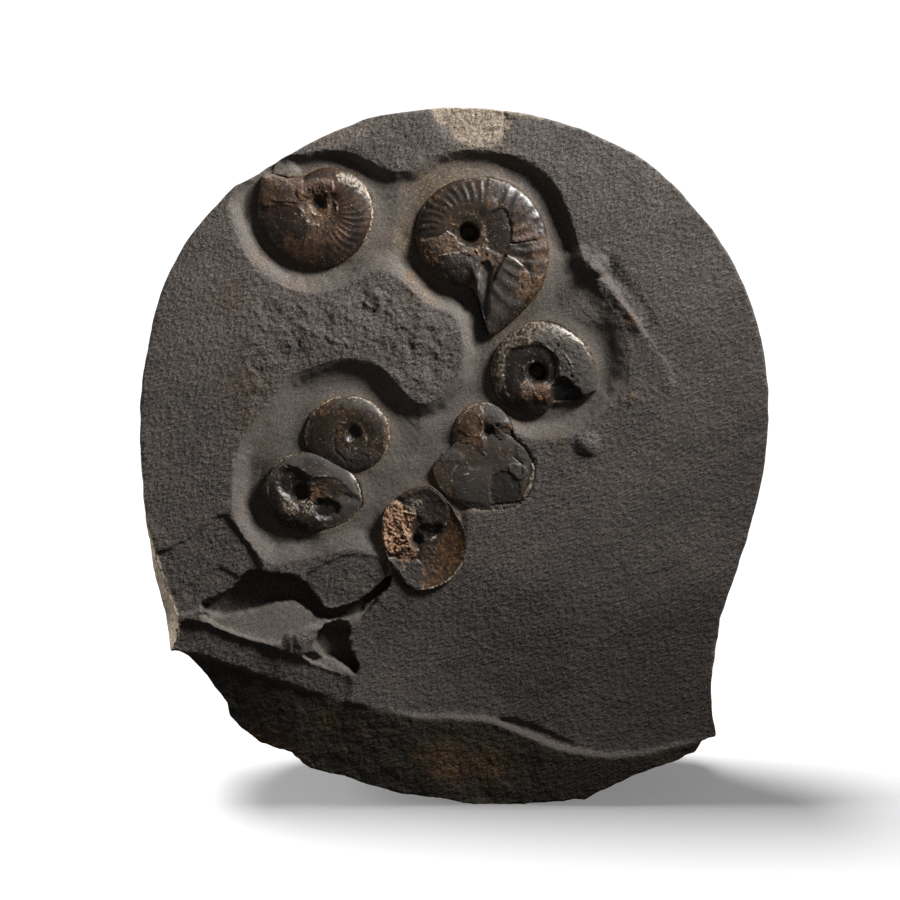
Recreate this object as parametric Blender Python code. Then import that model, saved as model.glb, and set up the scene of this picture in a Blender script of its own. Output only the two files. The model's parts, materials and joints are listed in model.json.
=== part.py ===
"""Ammonite cluster plate: a standing block of mudstone with eight ammonites prepared out of its face.

The front is a relief drawn on a sheet: x runs right and y runs down, in steps of half a millimetre.
The sheet leans back by LEAN_DEG and its foot point stands on the floor. Heights are in millimetres
along the sheet's outward normal. Each shell is a solid of its own, seated in a pocket of the stone.
"""

import math

import bmesh
import bpy
import numpy as np

# Sheet and stance
MM_PER_STEP = 0.5
# The perspective and slant of the drawing, which are taken out round its middle
SIGHT_CENTRE = (450.0, 450.0)
SPREAD_PER_STEP = 0.0000428
SLANT = 1.0055
FOOT_POINT = (455.0, 816.5)
LEAN_DEG = 8.0
SHEET_CENTRE = (455.0, 450.0)

# Stone block
TOP_THICKNESS = 42.0
BASE_THICKNESS = 101.0
BACK_SQUARENESS = 4.6
FLOOR_CUT_DEPTH = 100.0
GRID = 111
STONE_TRIANGLES = 4300

# Shells
POCKET_GAP = 0.3
SPOKES = 36

OUTLINE = [
    (170, 651), (162, 620), (155, 590), (148, 540), (143, 490), (140, 430), (142, 380), (147, 350),
    (155, 310), (165, 280), (180, 250), (197, 225), (215, 205), (235, 185), (258, 173), (280, 158),
    (300, 147), (320, 137), (340, 128), (360, 120), (380, 114), (400, 111), (437, 107), (487, 107),
    (500, 109), (540, 115), (560, 121), (580, 127), (600, 136), (620, 145), (640, 156), (655, 167),
    (670, 180), (685, 196), (700, 213), (715, 231), (730, 255), (745, 285), (757, 320), (764, 350),
    (769, 400), (767, 440), (762, 480), (752, 520), (740, 560), (728, 595), (720, 620), (716, 650),
    (713, 670), (712, 690), (714, 715), (717, 738), (703, 743), (693, 755), (680, 762), (650, 773),
    (625, 782), (600, 793), (585, 803), (560, 804), (510, 809), (470, 808), (440, 802), (400, 797),
    (375, 790), (345, 781), (310, 772), (290, 757), (258, 747), (237, 731), (228, 718), (226, 707),
    (205, 678), (187, 658), (180, 653),
]
# Edge of the hollows round the shells
PREPARED = [
    (270, 150), (300, 156), (320, 149), (345, 149), (370, 162), (400, 175), (425, 163), (440, 153),
    (480, 149), (515, 155), (535, 165), (550, 178), (562, 195), (570, 215), (580, 250), (590, 280),
    (612, 310), (622, 325), (630, 360), (627, 388), (605, 410), (590, 425), (570, 437), (535, 441),
    (505, 427), (515, 445), (535, 462), (537, 480), (520, 505), (490, 512), (465, 510), (467, 545),
    (455, 575), (430, 590), (410, 592), (385, 565), (360, 548), (340, 548), (320, 555), (285, 562),
    (270, 565), (245, 540), (235, 520), (232, 500), (233, 470), (238, 450), (245, 435), (270, 400),
    (290, 375), (320, 365), (345, 358), (378, 362), (395, 385), (420, 408), (440, 398), (462, 375),
    (465, 352), (460, 315), (432, 307), (400, 278), (380, 266), (362, 277), (330, 291), (300, 293),
    (262, 275), (246, 255), (236, 235), (231, 215), (226, 198),
]
# Depth of the prepared floor below the face, at points of the sheet
FLOOR_DEPTHS = [
    (300, 160, 4.2), (240, 225, 4.2), (250, 262, 4.4), (320, 280, 4.4), (375, 215, 3.6), (388, 250, 2.6),
    (400, 200, 3.4), (410, 270, 4.8), (450, 300, 5.8), (440, 170, 2.6), (480, 163, 2.8), (520, 172, 3.4),
    (545, 190, 4.2), (560, 215, 4.8), (570, 240, 4.2), (572, 265, 2.2), (570, 290, 1.8), (595, 300, 1.8),
    (475, 330, 4.2), (478, 385, 4.4), (530, 430, 4.4), (590, 410, 4.6), (612, 350, 3.8), (440, 400, 4.0),
    (410, 440, 3.4), (410, 480, 2.6), (445, 440, 2.8), (385, 395, 4.8), (300, 385, 4.2), (255, 430, 4.0),
    (248, 500, 6.2), (290, 545, 4.4), (340, 545, 1.8), (375, 525, 2.4), (480, 490, 1.6), (460, 560, 1.1),
    (525, 470, 0.7),
]
RIM_RAMP = 15.0

RIDGE = [(580, 255), (600, 280), (625, 300), (638, 322)]
RIDGE_HEIGHT = 2.2
BEADS = [(597, 265, 12, 3.6), (588, 444, 12, 2.0), (375, 300, 11, 1.4), (286, 171, 13, 3.4)]

# Broken steps: outline, height at its upper and lower end, and how softly its edge falls
BREAKS = [
    ([(425, 80), (500, 80), (512, 120), (505, 140), (497, 150), (460, 147), (440, 130)], -2.4, -0.3, 10.0),
    ([(290, 130), (375, 90), (380, 125), (352, 140), (330, 150), (290, 155)], -2.0, -0.4, 9.0),
    ([(130, 562), (175, 548), (205, 528), (224, 512), (236, 528), (262, 560), (262, 575), (215, 600),
      (180, 612), (130, 615)], -1.5, -2.4, 3.0),
    ([(130, 598), (172, 592), (188, 588), (214, 566), (240, 575), (238, 584), (215, 602), (185, 615),
      (130, 618)], -2.6, -3.2, 3.0),
    ([(196, 608), (215, 598), (230, 593), (245, 573), (262, 571), (304, 579), (312, 592), (325, 614),
      (365, 600), (392, 572), (388, 590), (352, 622), (330, 626), (300, 612), (225, 622)], -11.0, -11.0, 3.0),
    ([(200, 612), (225, 617), (250, 612), (285, 600), (300, 602), (322, 622), (352, 620), (385, 592),
      (355, 628), (340, 634), (315, 625), (290, 633), (280, 645), (245, 638), (205, 621)], -6.0, -2.4, 4.0),
    ([(178, 622), (202, 622), (225, 632), (245, 639), (270, 645), (283, 655), (285, 698), (215, 676),
      (165, 668), (172, 640)], -2.6, -4.4, 4.0),
    ([(278, 650), (300, 660), (322, 668), (345, 676), (352, 684), (345, 708), (290, 700), (272, 690)],
     -2.2, -3.4, 8.0),
    ([(303, 577), (318, 567), (340, 556), (355, 553), (388, 560), (390, 575), (365, 600), (325, 612),
      (310, 590)], -0.8, -2.6, 4.0),
    ([(318, 628), (345, 622), (352, 632), (346, 642), (362, 677), (335, 664), (312, 648)], -11.0, -11.0, 3.0),
    ([(303, 653), (318, 655), (336, 661), (353, 671), (345, 675), (322, 667), (306, 660)], -3.6, -1.8, 3.0),
    ([(496, 719), (512, 720), (535, 728), (560, 739), (580, 747), (562, 752), (540, 745), (518, 734)],
     -1.9, -0.5, 4.0),
]
# The broken edge low on the left, how fast the surface falls beyond it and how far
LEFT_WALL = [(141, 455), (144, 490), (147, 523), (155, 547), (160, 567), (170, 597), (178, 613), (180, 625),
             (178, 638), (172, 652)]
LEFT_WALL_STEEPNESS = 1.3
LEFT_WALL_DEPTH = 22.0

# Foot: where the face ends, how deep the hollow under that line is, and how far back its lower edge lies
FOOT_LINE = [
    (150, 645), (172, 651), (215, 662), (245, 671), (290, 687), (345, 702), (415, 716), (490, 720),
    (520, 733), (560, 749), (610, 757), (650, 753), (700, 742), (760, 738),
]
FOOT_HOLLOW = [
    (150, -9), (172, -7), (245, -5.4), (315, -4), (380, -2), (415, -2.5), (490, -3), (600, -3), (717, -6),
]
FOOT_DRAWN_BACK = [
    (150, -26), (230, -17), (300, -11), (380, -9), (455, -8), (560, -9), (640, -12), (717, -18),
]
FOOT_REACH = 80.0
ROLL_START = 170.0
ROLL_DEPTH = 6.5

# Shells: centre, (bearing, radius) round it with bearings clockwise from the right, heights of the
# rim and the crest, depth of the umbilicus, height of the base. A later shell lies over the earlier.
SHELLS = {
    "ammonite_top_left": dict(
        centre=(319, 210), rim=-3.2, crest=1.5, umbilicus=3.5, base=-13.0,
        radii=[(245, 37), (270, 42), (315, 50), (360, 54), (405, 56), (450, 58), (495, 60), (540, 62),
               (571, 66), (578, 60), (585, 48), (601, 38)]),
    "ammonite_top_large": dict(
        centre=(468, 235), rim=-2.8, crest=2.2, umbilicus=5.5, base=-14.0,
        radii=[(92, 51), (105, 51), (135, 52), (180, 53), (225, 54), (272, 57), (319, 69), (363, 80),
               (390, 89), (417, 95), (434, 103), (438.5, 104), (441, 68), (445, 54)]),
    "ammonite_middle_right": dict(
        centre=(537, 372), rim=-2.8, crest=1.6, umbilicus=5.0, base=-13.0,
        radii=[(60, 36), (80, 42), (99, 45), (138, 46), (189, 46), (229, 46), (273, 51), (317, 53),
               (363, 59), (378, 63), (388, 58), (402, 44)]),
    "ammonite_pair_upper": dict(
        centre=(350, 437), rim=-3.0, crest=0.2, umbilicus=3.0, base=-12.0,
        radii=[(0, 40), (45, 38), (90, 37), (135, 42), (180, 47), (225, 44), (270, 40), (315, 40)]),
    "ammonite_pair_lower": dict(
        centre=(298, 498), rim=-3.4, crest=1.5, umbilicus=5.0, base=-14.0,
        radii=[(88, 33), (147, 32), (180, 35), (235, 40), (279, 46), (320, 55), (348, 63), (367, 66),
               (377, 60), (405, 45)]),
    "ammonite_smooth_cast": dict(
        centre=(487, 462), rim=-0.9, crest=0.6, umbilicus=1.5, base=-8.0,
        radii=[(9, 50), (35, 54), (52, 54), (86, 49), (122, 50), (150, 55), (172, 55), (198, 40),
               (270, 25), (340, 42)]),
    "ammonite_small_broken": dict(
        centre=(485, 435), rim=-2.2, crest=1.4, umbilicus=2.0, base=-9.0,
        radii=[(0, 30), (60, 33), (90, 33), (150, 33), (200, 32), (270, 32), (320, 29)]),
    "ammonite_crystal_filled": dict(
        centre=(422, 540), rim=1.3, crest=-1.6, umbilicus=1.0, base=-9.0,
        radii=[(6, 45), (47, 48), (80, 49), (98, 50), (126, 40), (160, 38), (194, 41), (219, 47),
               (244, 50), (278, 55), (300, 47), (323, 42)]),
}
OVER = {
    "ammonite_pair_upper": ["ammonite_pair_lower"],
    "ammonite_smooth_cast": ["ammonite_small_broken", "ammonite_crystal_filled"],
}

STONE_COLOUR = (0.045, 0.038, 0.034)
SHELL_COLOURS = {
    "ammonite_top_left": (0.075, 0.040, 0.022),
    "ammonite_top_large": (0.040, 0.026, 0.018),
    "ammonite_middle_right": (0.050, 0.036, 0.027),
    "ammonite_pair_upper": (0.045, 0.032, 0.024),
    "ammonite_pair_lower": (0.055, 0.038, 0.028),
    "ammonite_smooth_cast": (0.065, 0.054, 0.045),
    "ammonite_small_broken": (0.085, 0.052, 0.030),
    "ammonite_crystal_filled": (0.100, 0.055, 0.030),
}


def smooth(t):
    """An S-curve from 0 to 1 as t goes from 0 to 1."""
    t = np.clip(t, 0.0, 1.0)
    return t * t * (3.0 - 2.0 * t)


def along(table, x):
    """The value that a table of (x, value) pairs gives at x."""
    xs, values = zip(*table)
    return np.interp(x, xs, values)


def distance_to_line(points, x, y, closed=False):
    """Distance, in steps of the sheet, from each (x, y) to a line through the points."""
    starts = np.asarray(points, float)
    ends = np.roll(starts, -1, axis=0)
    count = len(starts) if closed else len(starts) - 1
    nearest = np.full(np.shape(x), np.inf)
    for (ax, ay), (bx, by) in zip(starts[:count], ends[:count]):
        dx, dy = bx - ax, by - ay
        t = np.clip(((x - ax) * dx + (y - ay) * dy) / (dx * dx + dy * dy), 0.0, 1.0)
        nearest = np.minimum(nearest, np.hypot(x - ax - t * dx, y - ay - t * dy))
    return nearest


def depth_inside(polygon, x, y):
    """Distance from each (x, y) to the polygon's edge, positive inside it and negative outside."""
    starts = np.asarray(polygon, float)
    ends = np.roll(starts, -1, axis=0)
    inside = np.zeros(np.shape(x), bool)
    for (ax, ay), (bx, by) in zip(starts, ends):
        if ay != by:
            crosses = (ay > y) != (by > y)
            inside ^= crosses & (x < (bx - ax) * (y - ay) / (by - ay) + ax)
    distance = distance_to_line(polygon, x, y, closed=True)
    return np.where(inside, distance, -distance)


def prepared_floor(x, y):
    """Depth of the air-abraded floor, blended between the points of FLOOR_DEPTHS."""
    total = np.zeros(np.shape(x))
    weights = np.zeros(np.shape(x))
    for px, py, depth in FLOOR_DEPTHS:
        weight = 1.0 / (np.hypot(x - px, y - py) ** 4 + 2000.0)
        total += weight * depth
        weights += weight
    return total / weights


def relief(x, y):
    """Height of the stone's front above the face plane, in millimetres."""
    wall = 1.0 - np.clip(depth_inside(PREPARED, x, y) / RIM_RAMP, 0.0, 1.0)
    height = -prepared_floor(x, y) * (1.0 - wall * wall)

    ridge = distance_to_line(RIDGE, x, y)
    height += RIDGE_HEIGHT * smooth(1.0 - ridge / 14.0)
    for px, py, radius, rise in BEADS:
        height += rise * np.sqrt(np.clip(1.0 - (np.hypot(x - px, y - py) / radius) ** 2, 0.0, 1.0))

    for outline, upper, lower, softness in BREAKS:
        ys = [point[1] for point in outline]
        level = upper + (lower - upper) * np.clip((y - min(ys)) / (max(ys) - min(ys)), 0.0, 1.0)
        mask = smooth(0.5 + depth_inside(outline, x, y) / softness)
        height += (level - height) * mask

    below = y - along(FOOT_LINE, x)
    rolling = smooth((below + ROLL_START) / (ROLL_START + 6.0)) * smooth((x - 340.0) / 120.0)
    hollow = along(FOOT_HOLLOW, x)
    foot = hollow + (along(FOOT_DRAWN_BACK, x) - hollow) * np.clip(below / FOOT_REACH, 0.0, 1.0)
    height -= ROLL_DEPTH * rolling
    height += (foot - height) * smooth(0.5 + below / 6.0)

    wall_x = np.interp(y, [py for _, py in LEFT_WALL], [px for px, _ in LEFT_WALL])
    beyond = (x < wall_x) & (y > LEFT_WALL[0][1]) & (y < LEFT_WALL[-1][1] + 4.0)
    drop = np.minimum(LEFT_WALL_STEEPNESS * distance_to_line(LEFT_WALL, x, y), LEFT_WALL_DEPTH)
    return np.where(beyond, -drop, height)


def outline_radius(bearing):
    """Radius of the stone's outline round SHEET_CENTRE, in steps of the sheet."""
    points = np.asarray(OUTLINE, float) - SHEET_CENTRE
    bearings = np.arctan2(points[:, 1], points[:, 0])
    order = np.argsort(bearings)
    radii = np.hypot(points[:, 0], points[:, 1])
    return np.interp(bearing, bearings[order], radii[order], period=2.0 * math.pi)


def flattened(x, y):
    """Sheet positions with the drawing's perspective and slant taken out."""
    across, down = np.asarray(x) - SIGHT_CENTRE[0], np.asarray(y) - SIGHT_CENTRE[1]
    spread = 1.0 + SPREAD_PER_STEP * down
    return SIGHT_CENTRE[0] + across * spread, SIGHT_CENTRE[1] + down * spread * SLANT


def to_world(x, y, height):
    """World positions in metres of sheet positions (steps) and heights (mm)."""
    lean = math.radians(LEAN_DEG)
    flat_x, flat_y = flattened(x, y)
    u = (flat_x - FOOT_POINT[0]) * MM_PER_STEP
    v = (FOOT_POINT[1] - flat_y) * MM_PER_STEP
    back = v * math.sin(lean) - height * math.cos(lean)
    up = v * math.cos(lean) + height * math.sin(lean)
    return np.stack([u, back, up], axis=-1) / 1000.0


def mesh_object(name, points, faces, colour=None):
    """A mesh object with its normals facing out and, for a piece of the part, its material."""
    mesh = bpy.data.meshes.new(name)
    mesh.from_pydata([tuple(p) for p in points], [], [tuple(f) for f in faces])
    shape = bmesh.new()
    shape.from_mesh(mesh)
    bmesh.ops.remove_doubles(shape, verts=shape.verts, dist=1e-6)
    bmesh.ops.triangulate(shape, faces=shape.faces)
    bmesh.ops.recalc_face_normals(shape, faces=shape.faces)
    shape.to_mesh(mesh)
    shape.free()
    piece = bpy.data.objects.new(name, mesh)
    bpy.context.scene.collection.objects.link(piece)
    if colour is not None:
        material = bpy.data.materials.new(name)
        material.use_nodes = True
        shader = material.node_tree.nodes["Principled BSDF"]
        shader.inputs["Base Color"].default_value = (*colour, 1.0)
        shader.inputs["Roughness"].default_value = 0.7 if name == "rock_matrix" else 0.4
        mesh.materials.append(material)
    return piece


def apply_modifier(piece, kind, **settings):
    """Add one modifier with its settings and keep its result as the mesh."""
    modifier = piece.modifiers.new(kind.title(), kind)
    for setting, value in settings.items():
        setattr(modifier, setting, value)
    bpy.context.view_layer.update()
    graph = bpy.context.evaluated_depsgraph_get()
    result = bpy.data.meshes.new_from_object(piece.evaluated_get(graph))
    piece.modifiers.clear()
    piece.data = result


def cut(piece, cutter):
    """Subtract the cutter from the piece."""
    apply_modifier(piece, "BOOLEAN", operation="DIFFERENCE", object=cutter, solver="EXACT")


def disc_grid(count):
    """Radius and bearing of a square grid bent to fill a disc, so that its cells stay near square."""
    side = np.linspace(-1.0, 1.0, count)
    a, b = np.meshgrid(side, side, indexing="ij")
    p = a * np.sqrt(1.0 - b * b / 2.0)
    q = b * np.sqrt(1.0 - a * a / 2.0)
    return np.hypot(p, q), np.arctan2(q, p)


def stone():
    """The block: its front relief and its broken, squared-off back, joined along the outline."""
    t, bearing = disc_grid(GRID)
    rim = outline_radius(bearing)
    x = SHEET_CENTRE[0] + t * rim * np.cos(bearing)
    y = SHEET_CENTRE[1] + t * rim * np.sin(bearing)
    front = relief(x, y)

    turn = np.clip(t, 0.0, 1.0) * math.pi / 2.0
    inward = np.sin(turn) ** (2.0 / BACK_SQUARENESS)
    outward = np.clip(np.cos(turn), 0.0, 1.0) ** (2.0 / BACK_SQUARENESS)
    back_x = SHEET_CENTRE[0] + inward * rim * np.cos(bearing)
    back_y = SHEET_CENTRE[1] + inward * rim * np.sin(bearing)
    share = np.clip((back_y - 110.0) / 690.0, 0.0, 1.0)
    thickness = TOP_THICKNESS + (BASE_THICKNESS - TOP_THICKNESS) * share
    rim_height = relief(
        SHEET_CENTRE[0] + rim * np.cos(bearing), SHEET_CENTRE[1] + rim * np.sin(bearing)
    )
    back = rim_height * (1.0 - outward) - thickness * outward

    points = np.concatenate(
        [to_world(x, y, front).reshape(-1, 3), to_world(back_x, back_y, back).reshape(-1, 3)]
    )
    index = np.arange(GRID * GRID).reshape(GRID, GRID)
    quads = np.stack([index[:-1, :-1], index[1:, :-1], index[1:, 1:], index[:-1, 1:]], axis=-1).reshape(-1, 4)
    faces = np.concatenate([quads, quads[:, ::-1] + GRID * GRID])
    piece = mesh_object("rock_matrix", points, faces, STONE_COLOUR)
    share_kept = STONE_TRIANGLES / len(piece.data.polygons)
    apply_modifier(piece, "DECIMATE", ratio=share_kept)
    return piece


def shell_outline(shell, bearings):
    """Radius of a shell's outline at each bearing, in steps of the sheet."""
    angles, radii = zip(*shell["radii"])
    return np.interp(bearings, np.radians(angles), radii, period=2.0 * math.pi)


def shell_solid(name, shell):
    """One shell: a coiled dome with its umbilicus, on a plug that reaches down into the stone."""
    bearings = np.linspace(0.0, 2.0 * math.pi, SPOKES, endpoint=False)
    radius = shell_outline(shell, bearings)
    rings = (0.12, 0.24, 0.36, 0.60, 0.84, 1.0)
    rise = shell["crest"] - shell["rim"]
    rows = []
    for ring in rings:
        dome = (1.0 - ring**2.4) ** 0.6
        height = shell["rim"] + rise * dome - shell["umbilicus"] * smooth((0.34 - ring) / 0.24)
        rows.append(polar(shell["centre"], radius * ring, bearings, height))
    rows.append(polar(shell["centre"], radius, bearings, shell["base"]))
    top = to_world(*shell["centre"], shell["crest"] - shell["umbilicus"])
    bottom = to_world(*shell["centre"], shell["base"])
    return lathe(name, rows, top, bottom, SHELL_COLOURS[name])


def polar(centre, radius, bearings, height):
    """World positions on a ring round a centre of the sheet."""
    x = centre[0] + radius * np.cos(bearings)
    y = centre[1] + radius * np.sin(bearings)
    return to_world(x, y, np.full(np.shape(x), height))


def lathe(name, rows, top, bottom, colour=None):
    """A closed solid from rings of points and its two end points."""
    count = len(rows[0])
    points = np.concatenate([*rows, [top], [bottom]])
    last = len(points) - 2
    faces = []
    for i in range(count):
        j = (i + 1) % count
        faces.append((last, j, i))
        for k in range(len(rows) - 1):
            faces.append((k * count + i, k * count + j, (k + 1) * count + j, (k + 1) * count + i))
        start = (len(rows) - 1) * count
        faces.append((last + 1, start + i, start + j))
    return mesh_object(name, points, faces, colour)


def pocket(name, shell):
    """The cutter of a shell's pocket: its outline widened by the gap, open towards the viewer."""
    bearings = np.linspace(0.0, 2.0 * math.pi, SPOKES, endpoint=False)
    radius = shell_outline(shell, bearings) + 1.6 * POCKET_GAP / MM_PER_STEP
    floor = shell["base"] - POCKET_GAP
    rows = [polar(shell["centre"], radius, bearings, 30.0), polar(shell["centre"], radius, bearings, floor)]
    top = to_world(*shell["centre"], 30.0)
    bottom = to_world(*shell["centre"], floor)
    cutter = lathe(name + "_pocket", rows, top, bottom)
    cutter.hide_render = True
    cutter.display_type = "WIRE"
    return cutter


def floor_cutter():
    """A box below the floor: the stone's foot is cut flat by it."""
    half = 300.0
    corners = [
        (sx * half, sy * half + 50.0, z)
        for z in (-FLOOR_CUT_DEPTH, 0.0)
        for sx, sy in ((-1, -1), (1, -1), (1, 1), (-1, 1))
    ]
    faces = [(0, 1, 2, 3), (4, 7, 6, 5), (0, 4, 5, 1), (1, 5, 6, 2), (2, 6, 7, 3), (3, 7, 4, 0)]
    cutter = mesh_object("floor_cutter", np.asarray(corners) / 1000.0, faces)
    cutter.hide_render = True
    cutter.display_type = "WIRE"
    return cutter


def centre_on_floor(pieces):
    """Move all the pieces so that the middle of the part's box stands over the origin."""
    points = [corner for piece in pieces for corner in vertex_positions(piece)]
    low, high = np.min(points, axis=0), np.max(points, axis=0)
    shift = np.array([-(low[0] + high[0]) / 2.0, -(low[1] + high[1]) / 2.0, -low[2]])
    for piece in pieces:
        moved = vertex_positions(piece) + shift
        piece.data.vertices.foreach_set("co", moved.ravel())
        piece.data.update()


def vertex_positions(piece):
    """The vertices of a piece as rows of x, y and z."""
    flat = np.empty(len(piece.data.vertices) * 3)
    piece.data.vertices.foreach_get("co", flat)
    return flat.reshape(-1, 3)


def main():
    for leftover in list(bpy.data.objects):
        bpy.data.objects.remove(leftover)

    block = stone()
    pockets = {name: pocket(name, shell) for name, shell in SHELLS.items()}
    shells = {name: shell_solid(name, shell) for name, shell in SHELLS.items()}
    cut(block, floor_cutter())
    for cutter in pockets.values():
        cut(block, cutter)
    for lower, uppers in OVER.items():
        for upper in uppers:
            cut(shells[lower], pockets[upper])
    centre_on_floor([block, *shells.values()])


main()
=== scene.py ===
"""Looks of the ammonite cluster plate: the weathered and air-abraded stone, its eight shells and the studio.

The sheet is the plate's front drawn flat: x runs right and y runs down in steps of half a millimetre,
and heights are millimetres along the sheet's outward normal, as in the part's own source.
"""

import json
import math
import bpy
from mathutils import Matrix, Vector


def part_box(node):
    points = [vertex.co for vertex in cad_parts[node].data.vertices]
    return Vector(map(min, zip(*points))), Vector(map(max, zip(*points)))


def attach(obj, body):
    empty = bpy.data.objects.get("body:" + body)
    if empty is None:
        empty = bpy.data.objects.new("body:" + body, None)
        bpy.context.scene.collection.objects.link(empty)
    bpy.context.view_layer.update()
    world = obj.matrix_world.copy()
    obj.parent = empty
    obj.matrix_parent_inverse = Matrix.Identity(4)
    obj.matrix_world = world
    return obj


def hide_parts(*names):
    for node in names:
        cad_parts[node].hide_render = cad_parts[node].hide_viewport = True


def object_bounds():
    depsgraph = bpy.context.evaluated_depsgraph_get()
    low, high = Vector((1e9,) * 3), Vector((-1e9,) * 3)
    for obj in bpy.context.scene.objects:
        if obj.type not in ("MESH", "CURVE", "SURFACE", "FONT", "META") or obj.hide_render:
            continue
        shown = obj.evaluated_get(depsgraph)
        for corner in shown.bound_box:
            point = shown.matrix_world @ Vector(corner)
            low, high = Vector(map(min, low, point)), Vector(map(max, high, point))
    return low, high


bl_info = {
    "name": "Ammonite cluster plate",
    "version": (1, 1, 0),
    "blender": (4, 5, 0),
    "location": "3D View > Sidebar > Plate",
    "description": "Builds the stone, shells and studio of an ammonite plate round its packed solids",
    "category": "Object",
}

import bpy
import numpy as np
from bpy.props import FloatProperty, FloatVectorProperty, IntProperty, PointerProperty
from mathutils import Vector

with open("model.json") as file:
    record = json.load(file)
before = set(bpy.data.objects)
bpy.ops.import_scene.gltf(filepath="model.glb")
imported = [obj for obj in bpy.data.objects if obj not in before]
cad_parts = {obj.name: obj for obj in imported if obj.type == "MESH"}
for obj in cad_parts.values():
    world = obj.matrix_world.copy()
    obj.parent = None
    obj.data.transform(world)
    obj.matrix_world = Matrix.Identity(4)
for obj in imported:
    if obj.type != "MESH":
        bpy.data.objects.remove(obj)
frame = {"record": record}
CAD_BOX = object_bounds()

MM_PER_STEP = 0.5
# The photograph's perspective and slant, which are taken out round its middle
SIGHT_CENTRE = (450.0, 450.0)
SPREAD_PER_STEP = 0.0000428
SLANT = 1.0055
# Point of the sheet that stands at floor height, how far the sheet leans back, and its middle
FOOT_POINT = (455.0, 816.5)
LEAN_DEG = 8.0
SHEET_CENTRE = (455.0, 450.0)
# Thickness in millimetres at the sheet's top edge and, so many steps further down, at its base
TOP_THICKNESS = 42.0
BASE_THICKNESS = 101.0
TOP_EDGE = 110.0
TOP_TO_BASE = 690.0
# How square the back's corners are, and how soon behind the rim its broken faces begin
BACK_SQUARENESS = 4.6
BACK_BREAKING = 6.0
# Height at which the stone's surface counts as its back, and over how many millimetres it changes
BACK_BEGINS = -26.0
BACK_BLENDS = 8.0
# Points at which the outline is read for the height of the back's rim
RIM_READINGS = 4001

# Outline of the front
OUTLINE = [
    (170, 651), (162, 620), (155, 590), (148, 540), (143, 490), (140, 430), (142, 380), (147, 350),
    (155, 310), (165, 280), (180, 250), (197, 225), (215, 205), (235, 185), (258, 173), (280, 158),
    (300, 147), (320, 137), (340, 128), (360, 120), (380, 114), (400, 111), (437, 107), (487, 107),
    (500, 109), (540, 115), (560, 121), (580, 127), (600, 136), (620, 145), (640, 156), (655, 167),
    (670, 180), (685, 196), (700, 213), (715, 231), (730, 255), (745, 285), (757, 320), (764, 350),
    (769, 400), (767, 440), (762, 480), (752, 520), (740, 560), (728, 595), (720, 620), (716, 650),
    (713, 670), (712, 690), (714, 715), (717, 738), (703, 743), (693, 755), (680, 762), (650, 773),
    (625, 782), (600, 793), (585, 803), (560, 804), (510, 809), (470, 808), (440, 802), (400, 797),
    (375, 790), (345, 781), (310, 772), (290, 757), (258, 747), (237, 731), (228, 718), (226, 707),
    (205, 678), (187, 658), (180, 653),
]
# Edge of the air-abraded hollows
PREPARED = [
    (270, 150), (300, 156), (320, 149), (345, 149), (370, 162), (400, 175), (425, 163), (440, 153),
    (480, 149), (515, 155), (535, 165), (550, 178), (562, 195), (570, 215), (580, 250), (590, 280),
    (612, 310), (622, 325), (630, 360), (627, 388), (605, 410), (590, 425), (570, 437), (535, 441),
    (505, 427), (515, 445), (535, 462), (537, 480), (520, 505), (490, 512), (465, 510), (467, 545),
    (455, 575), (430, 590), (410, 592), (385, 565), (360, 548), (340, 548), (320, 555), (285, 562),
    (270, 565), (245, 540), (235, 520), (232, 500), (233, 470), (238, 450), (245, 435), (270, 400),
    (290, 375), (320, 365), (345, 358), (378, 362), (395, 385), (420, 408), (440, 398), (462, 375),
    (465, 352), (460, 315), (432, 307), (400, 278), (380, 266), (362, 277), (330, 291), (300, 293),
    (262, 275), (246, 255), (236, 235), (231, 215), (226, 198),
]
# Depth of the abraded floor below the face, at points of the sheet
FLOOR_DEPTHS = [
    (300, 160, 4.2), (240, 225, 4.2), (250, 262, 4.4), (320, 280, 4.4), (375, 215, 3.6), (388, 250, 2.6),
    (400, 200, 3.4), (410, 270, 4.8), (450, 300, 5.8), (440, 170, 2.6), (480, 163, 2.8), (520, 172, 3.4),
    (545, 190, 4.2), (560, 215, 4.8), (570, 240, 4.2), (572, 265, 2.2), (570, 290, 1.8), (595, 300, 1.8),
    (475, 330, 4.2), (478, 385, 4.4), (530, 430, 4.4), (590, 410, 4.6), (612, 350, 3.8), (440, 400, 4.0),
    (410, 440, 3.4), (410, 480, 2.6), (445, 440, 2.8), (385, 395, 4.8), (300, 385, 4.2), (255, 430, 4.0),
    (248, 500, 6.2), (290, 545, 4.4), (340, 545, 1.8), (375, 525, 2.4), (480, 490, 1.6), (460, 560, 1.1),
    (525, 470, 0.7),
]
# How wide the slope from rim to floor of the hollow is at a few places, in steps of the sheet
RIM_WIDTHS = [
    (240, 210, 14), (236, 240, 20), (270, 280, 22), (320, 292, 22), (385, 264, 22), (405, 175, 12),
    (440, 153, 10), (490, 150, 10), (545, 175, 9), (572, 220, 9), (582, 262, 10), (600, 300, 14),
    (622, 340, 24), (622, 390, 24), (590, 425, 22), (550, 440, 22), (500, 440, 18), (345, 150, 10),
    (300, 158, 10), (290, 375, 16), (345, 360, 14), (395, 385, 16), (420, 405, 18), (242, 440, 14),
    (236, 490, 18), (255, 545, 22), (320, 555, 24), (370, 555, 20), (430, 590, 8), (500, 510, 6),
    (462, 345, 12), (430, 307, 18),
]
# The deeper channel cut round the shells, and the strokes that the abrading left in it
CHANNEL_DEPTH = 1.3
CHANNEL_WIDTH = 30.0
BRUSH_DEPTH = 0.17
BRUSH_WIDTH = 3.2

RIDGE = [(580, 255), (600, 280), (625, 300), (638, 322)]
RIDGE_HEIGHT = 2.2
RIDGE_HALF_WIDTH = 14.0
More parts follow.
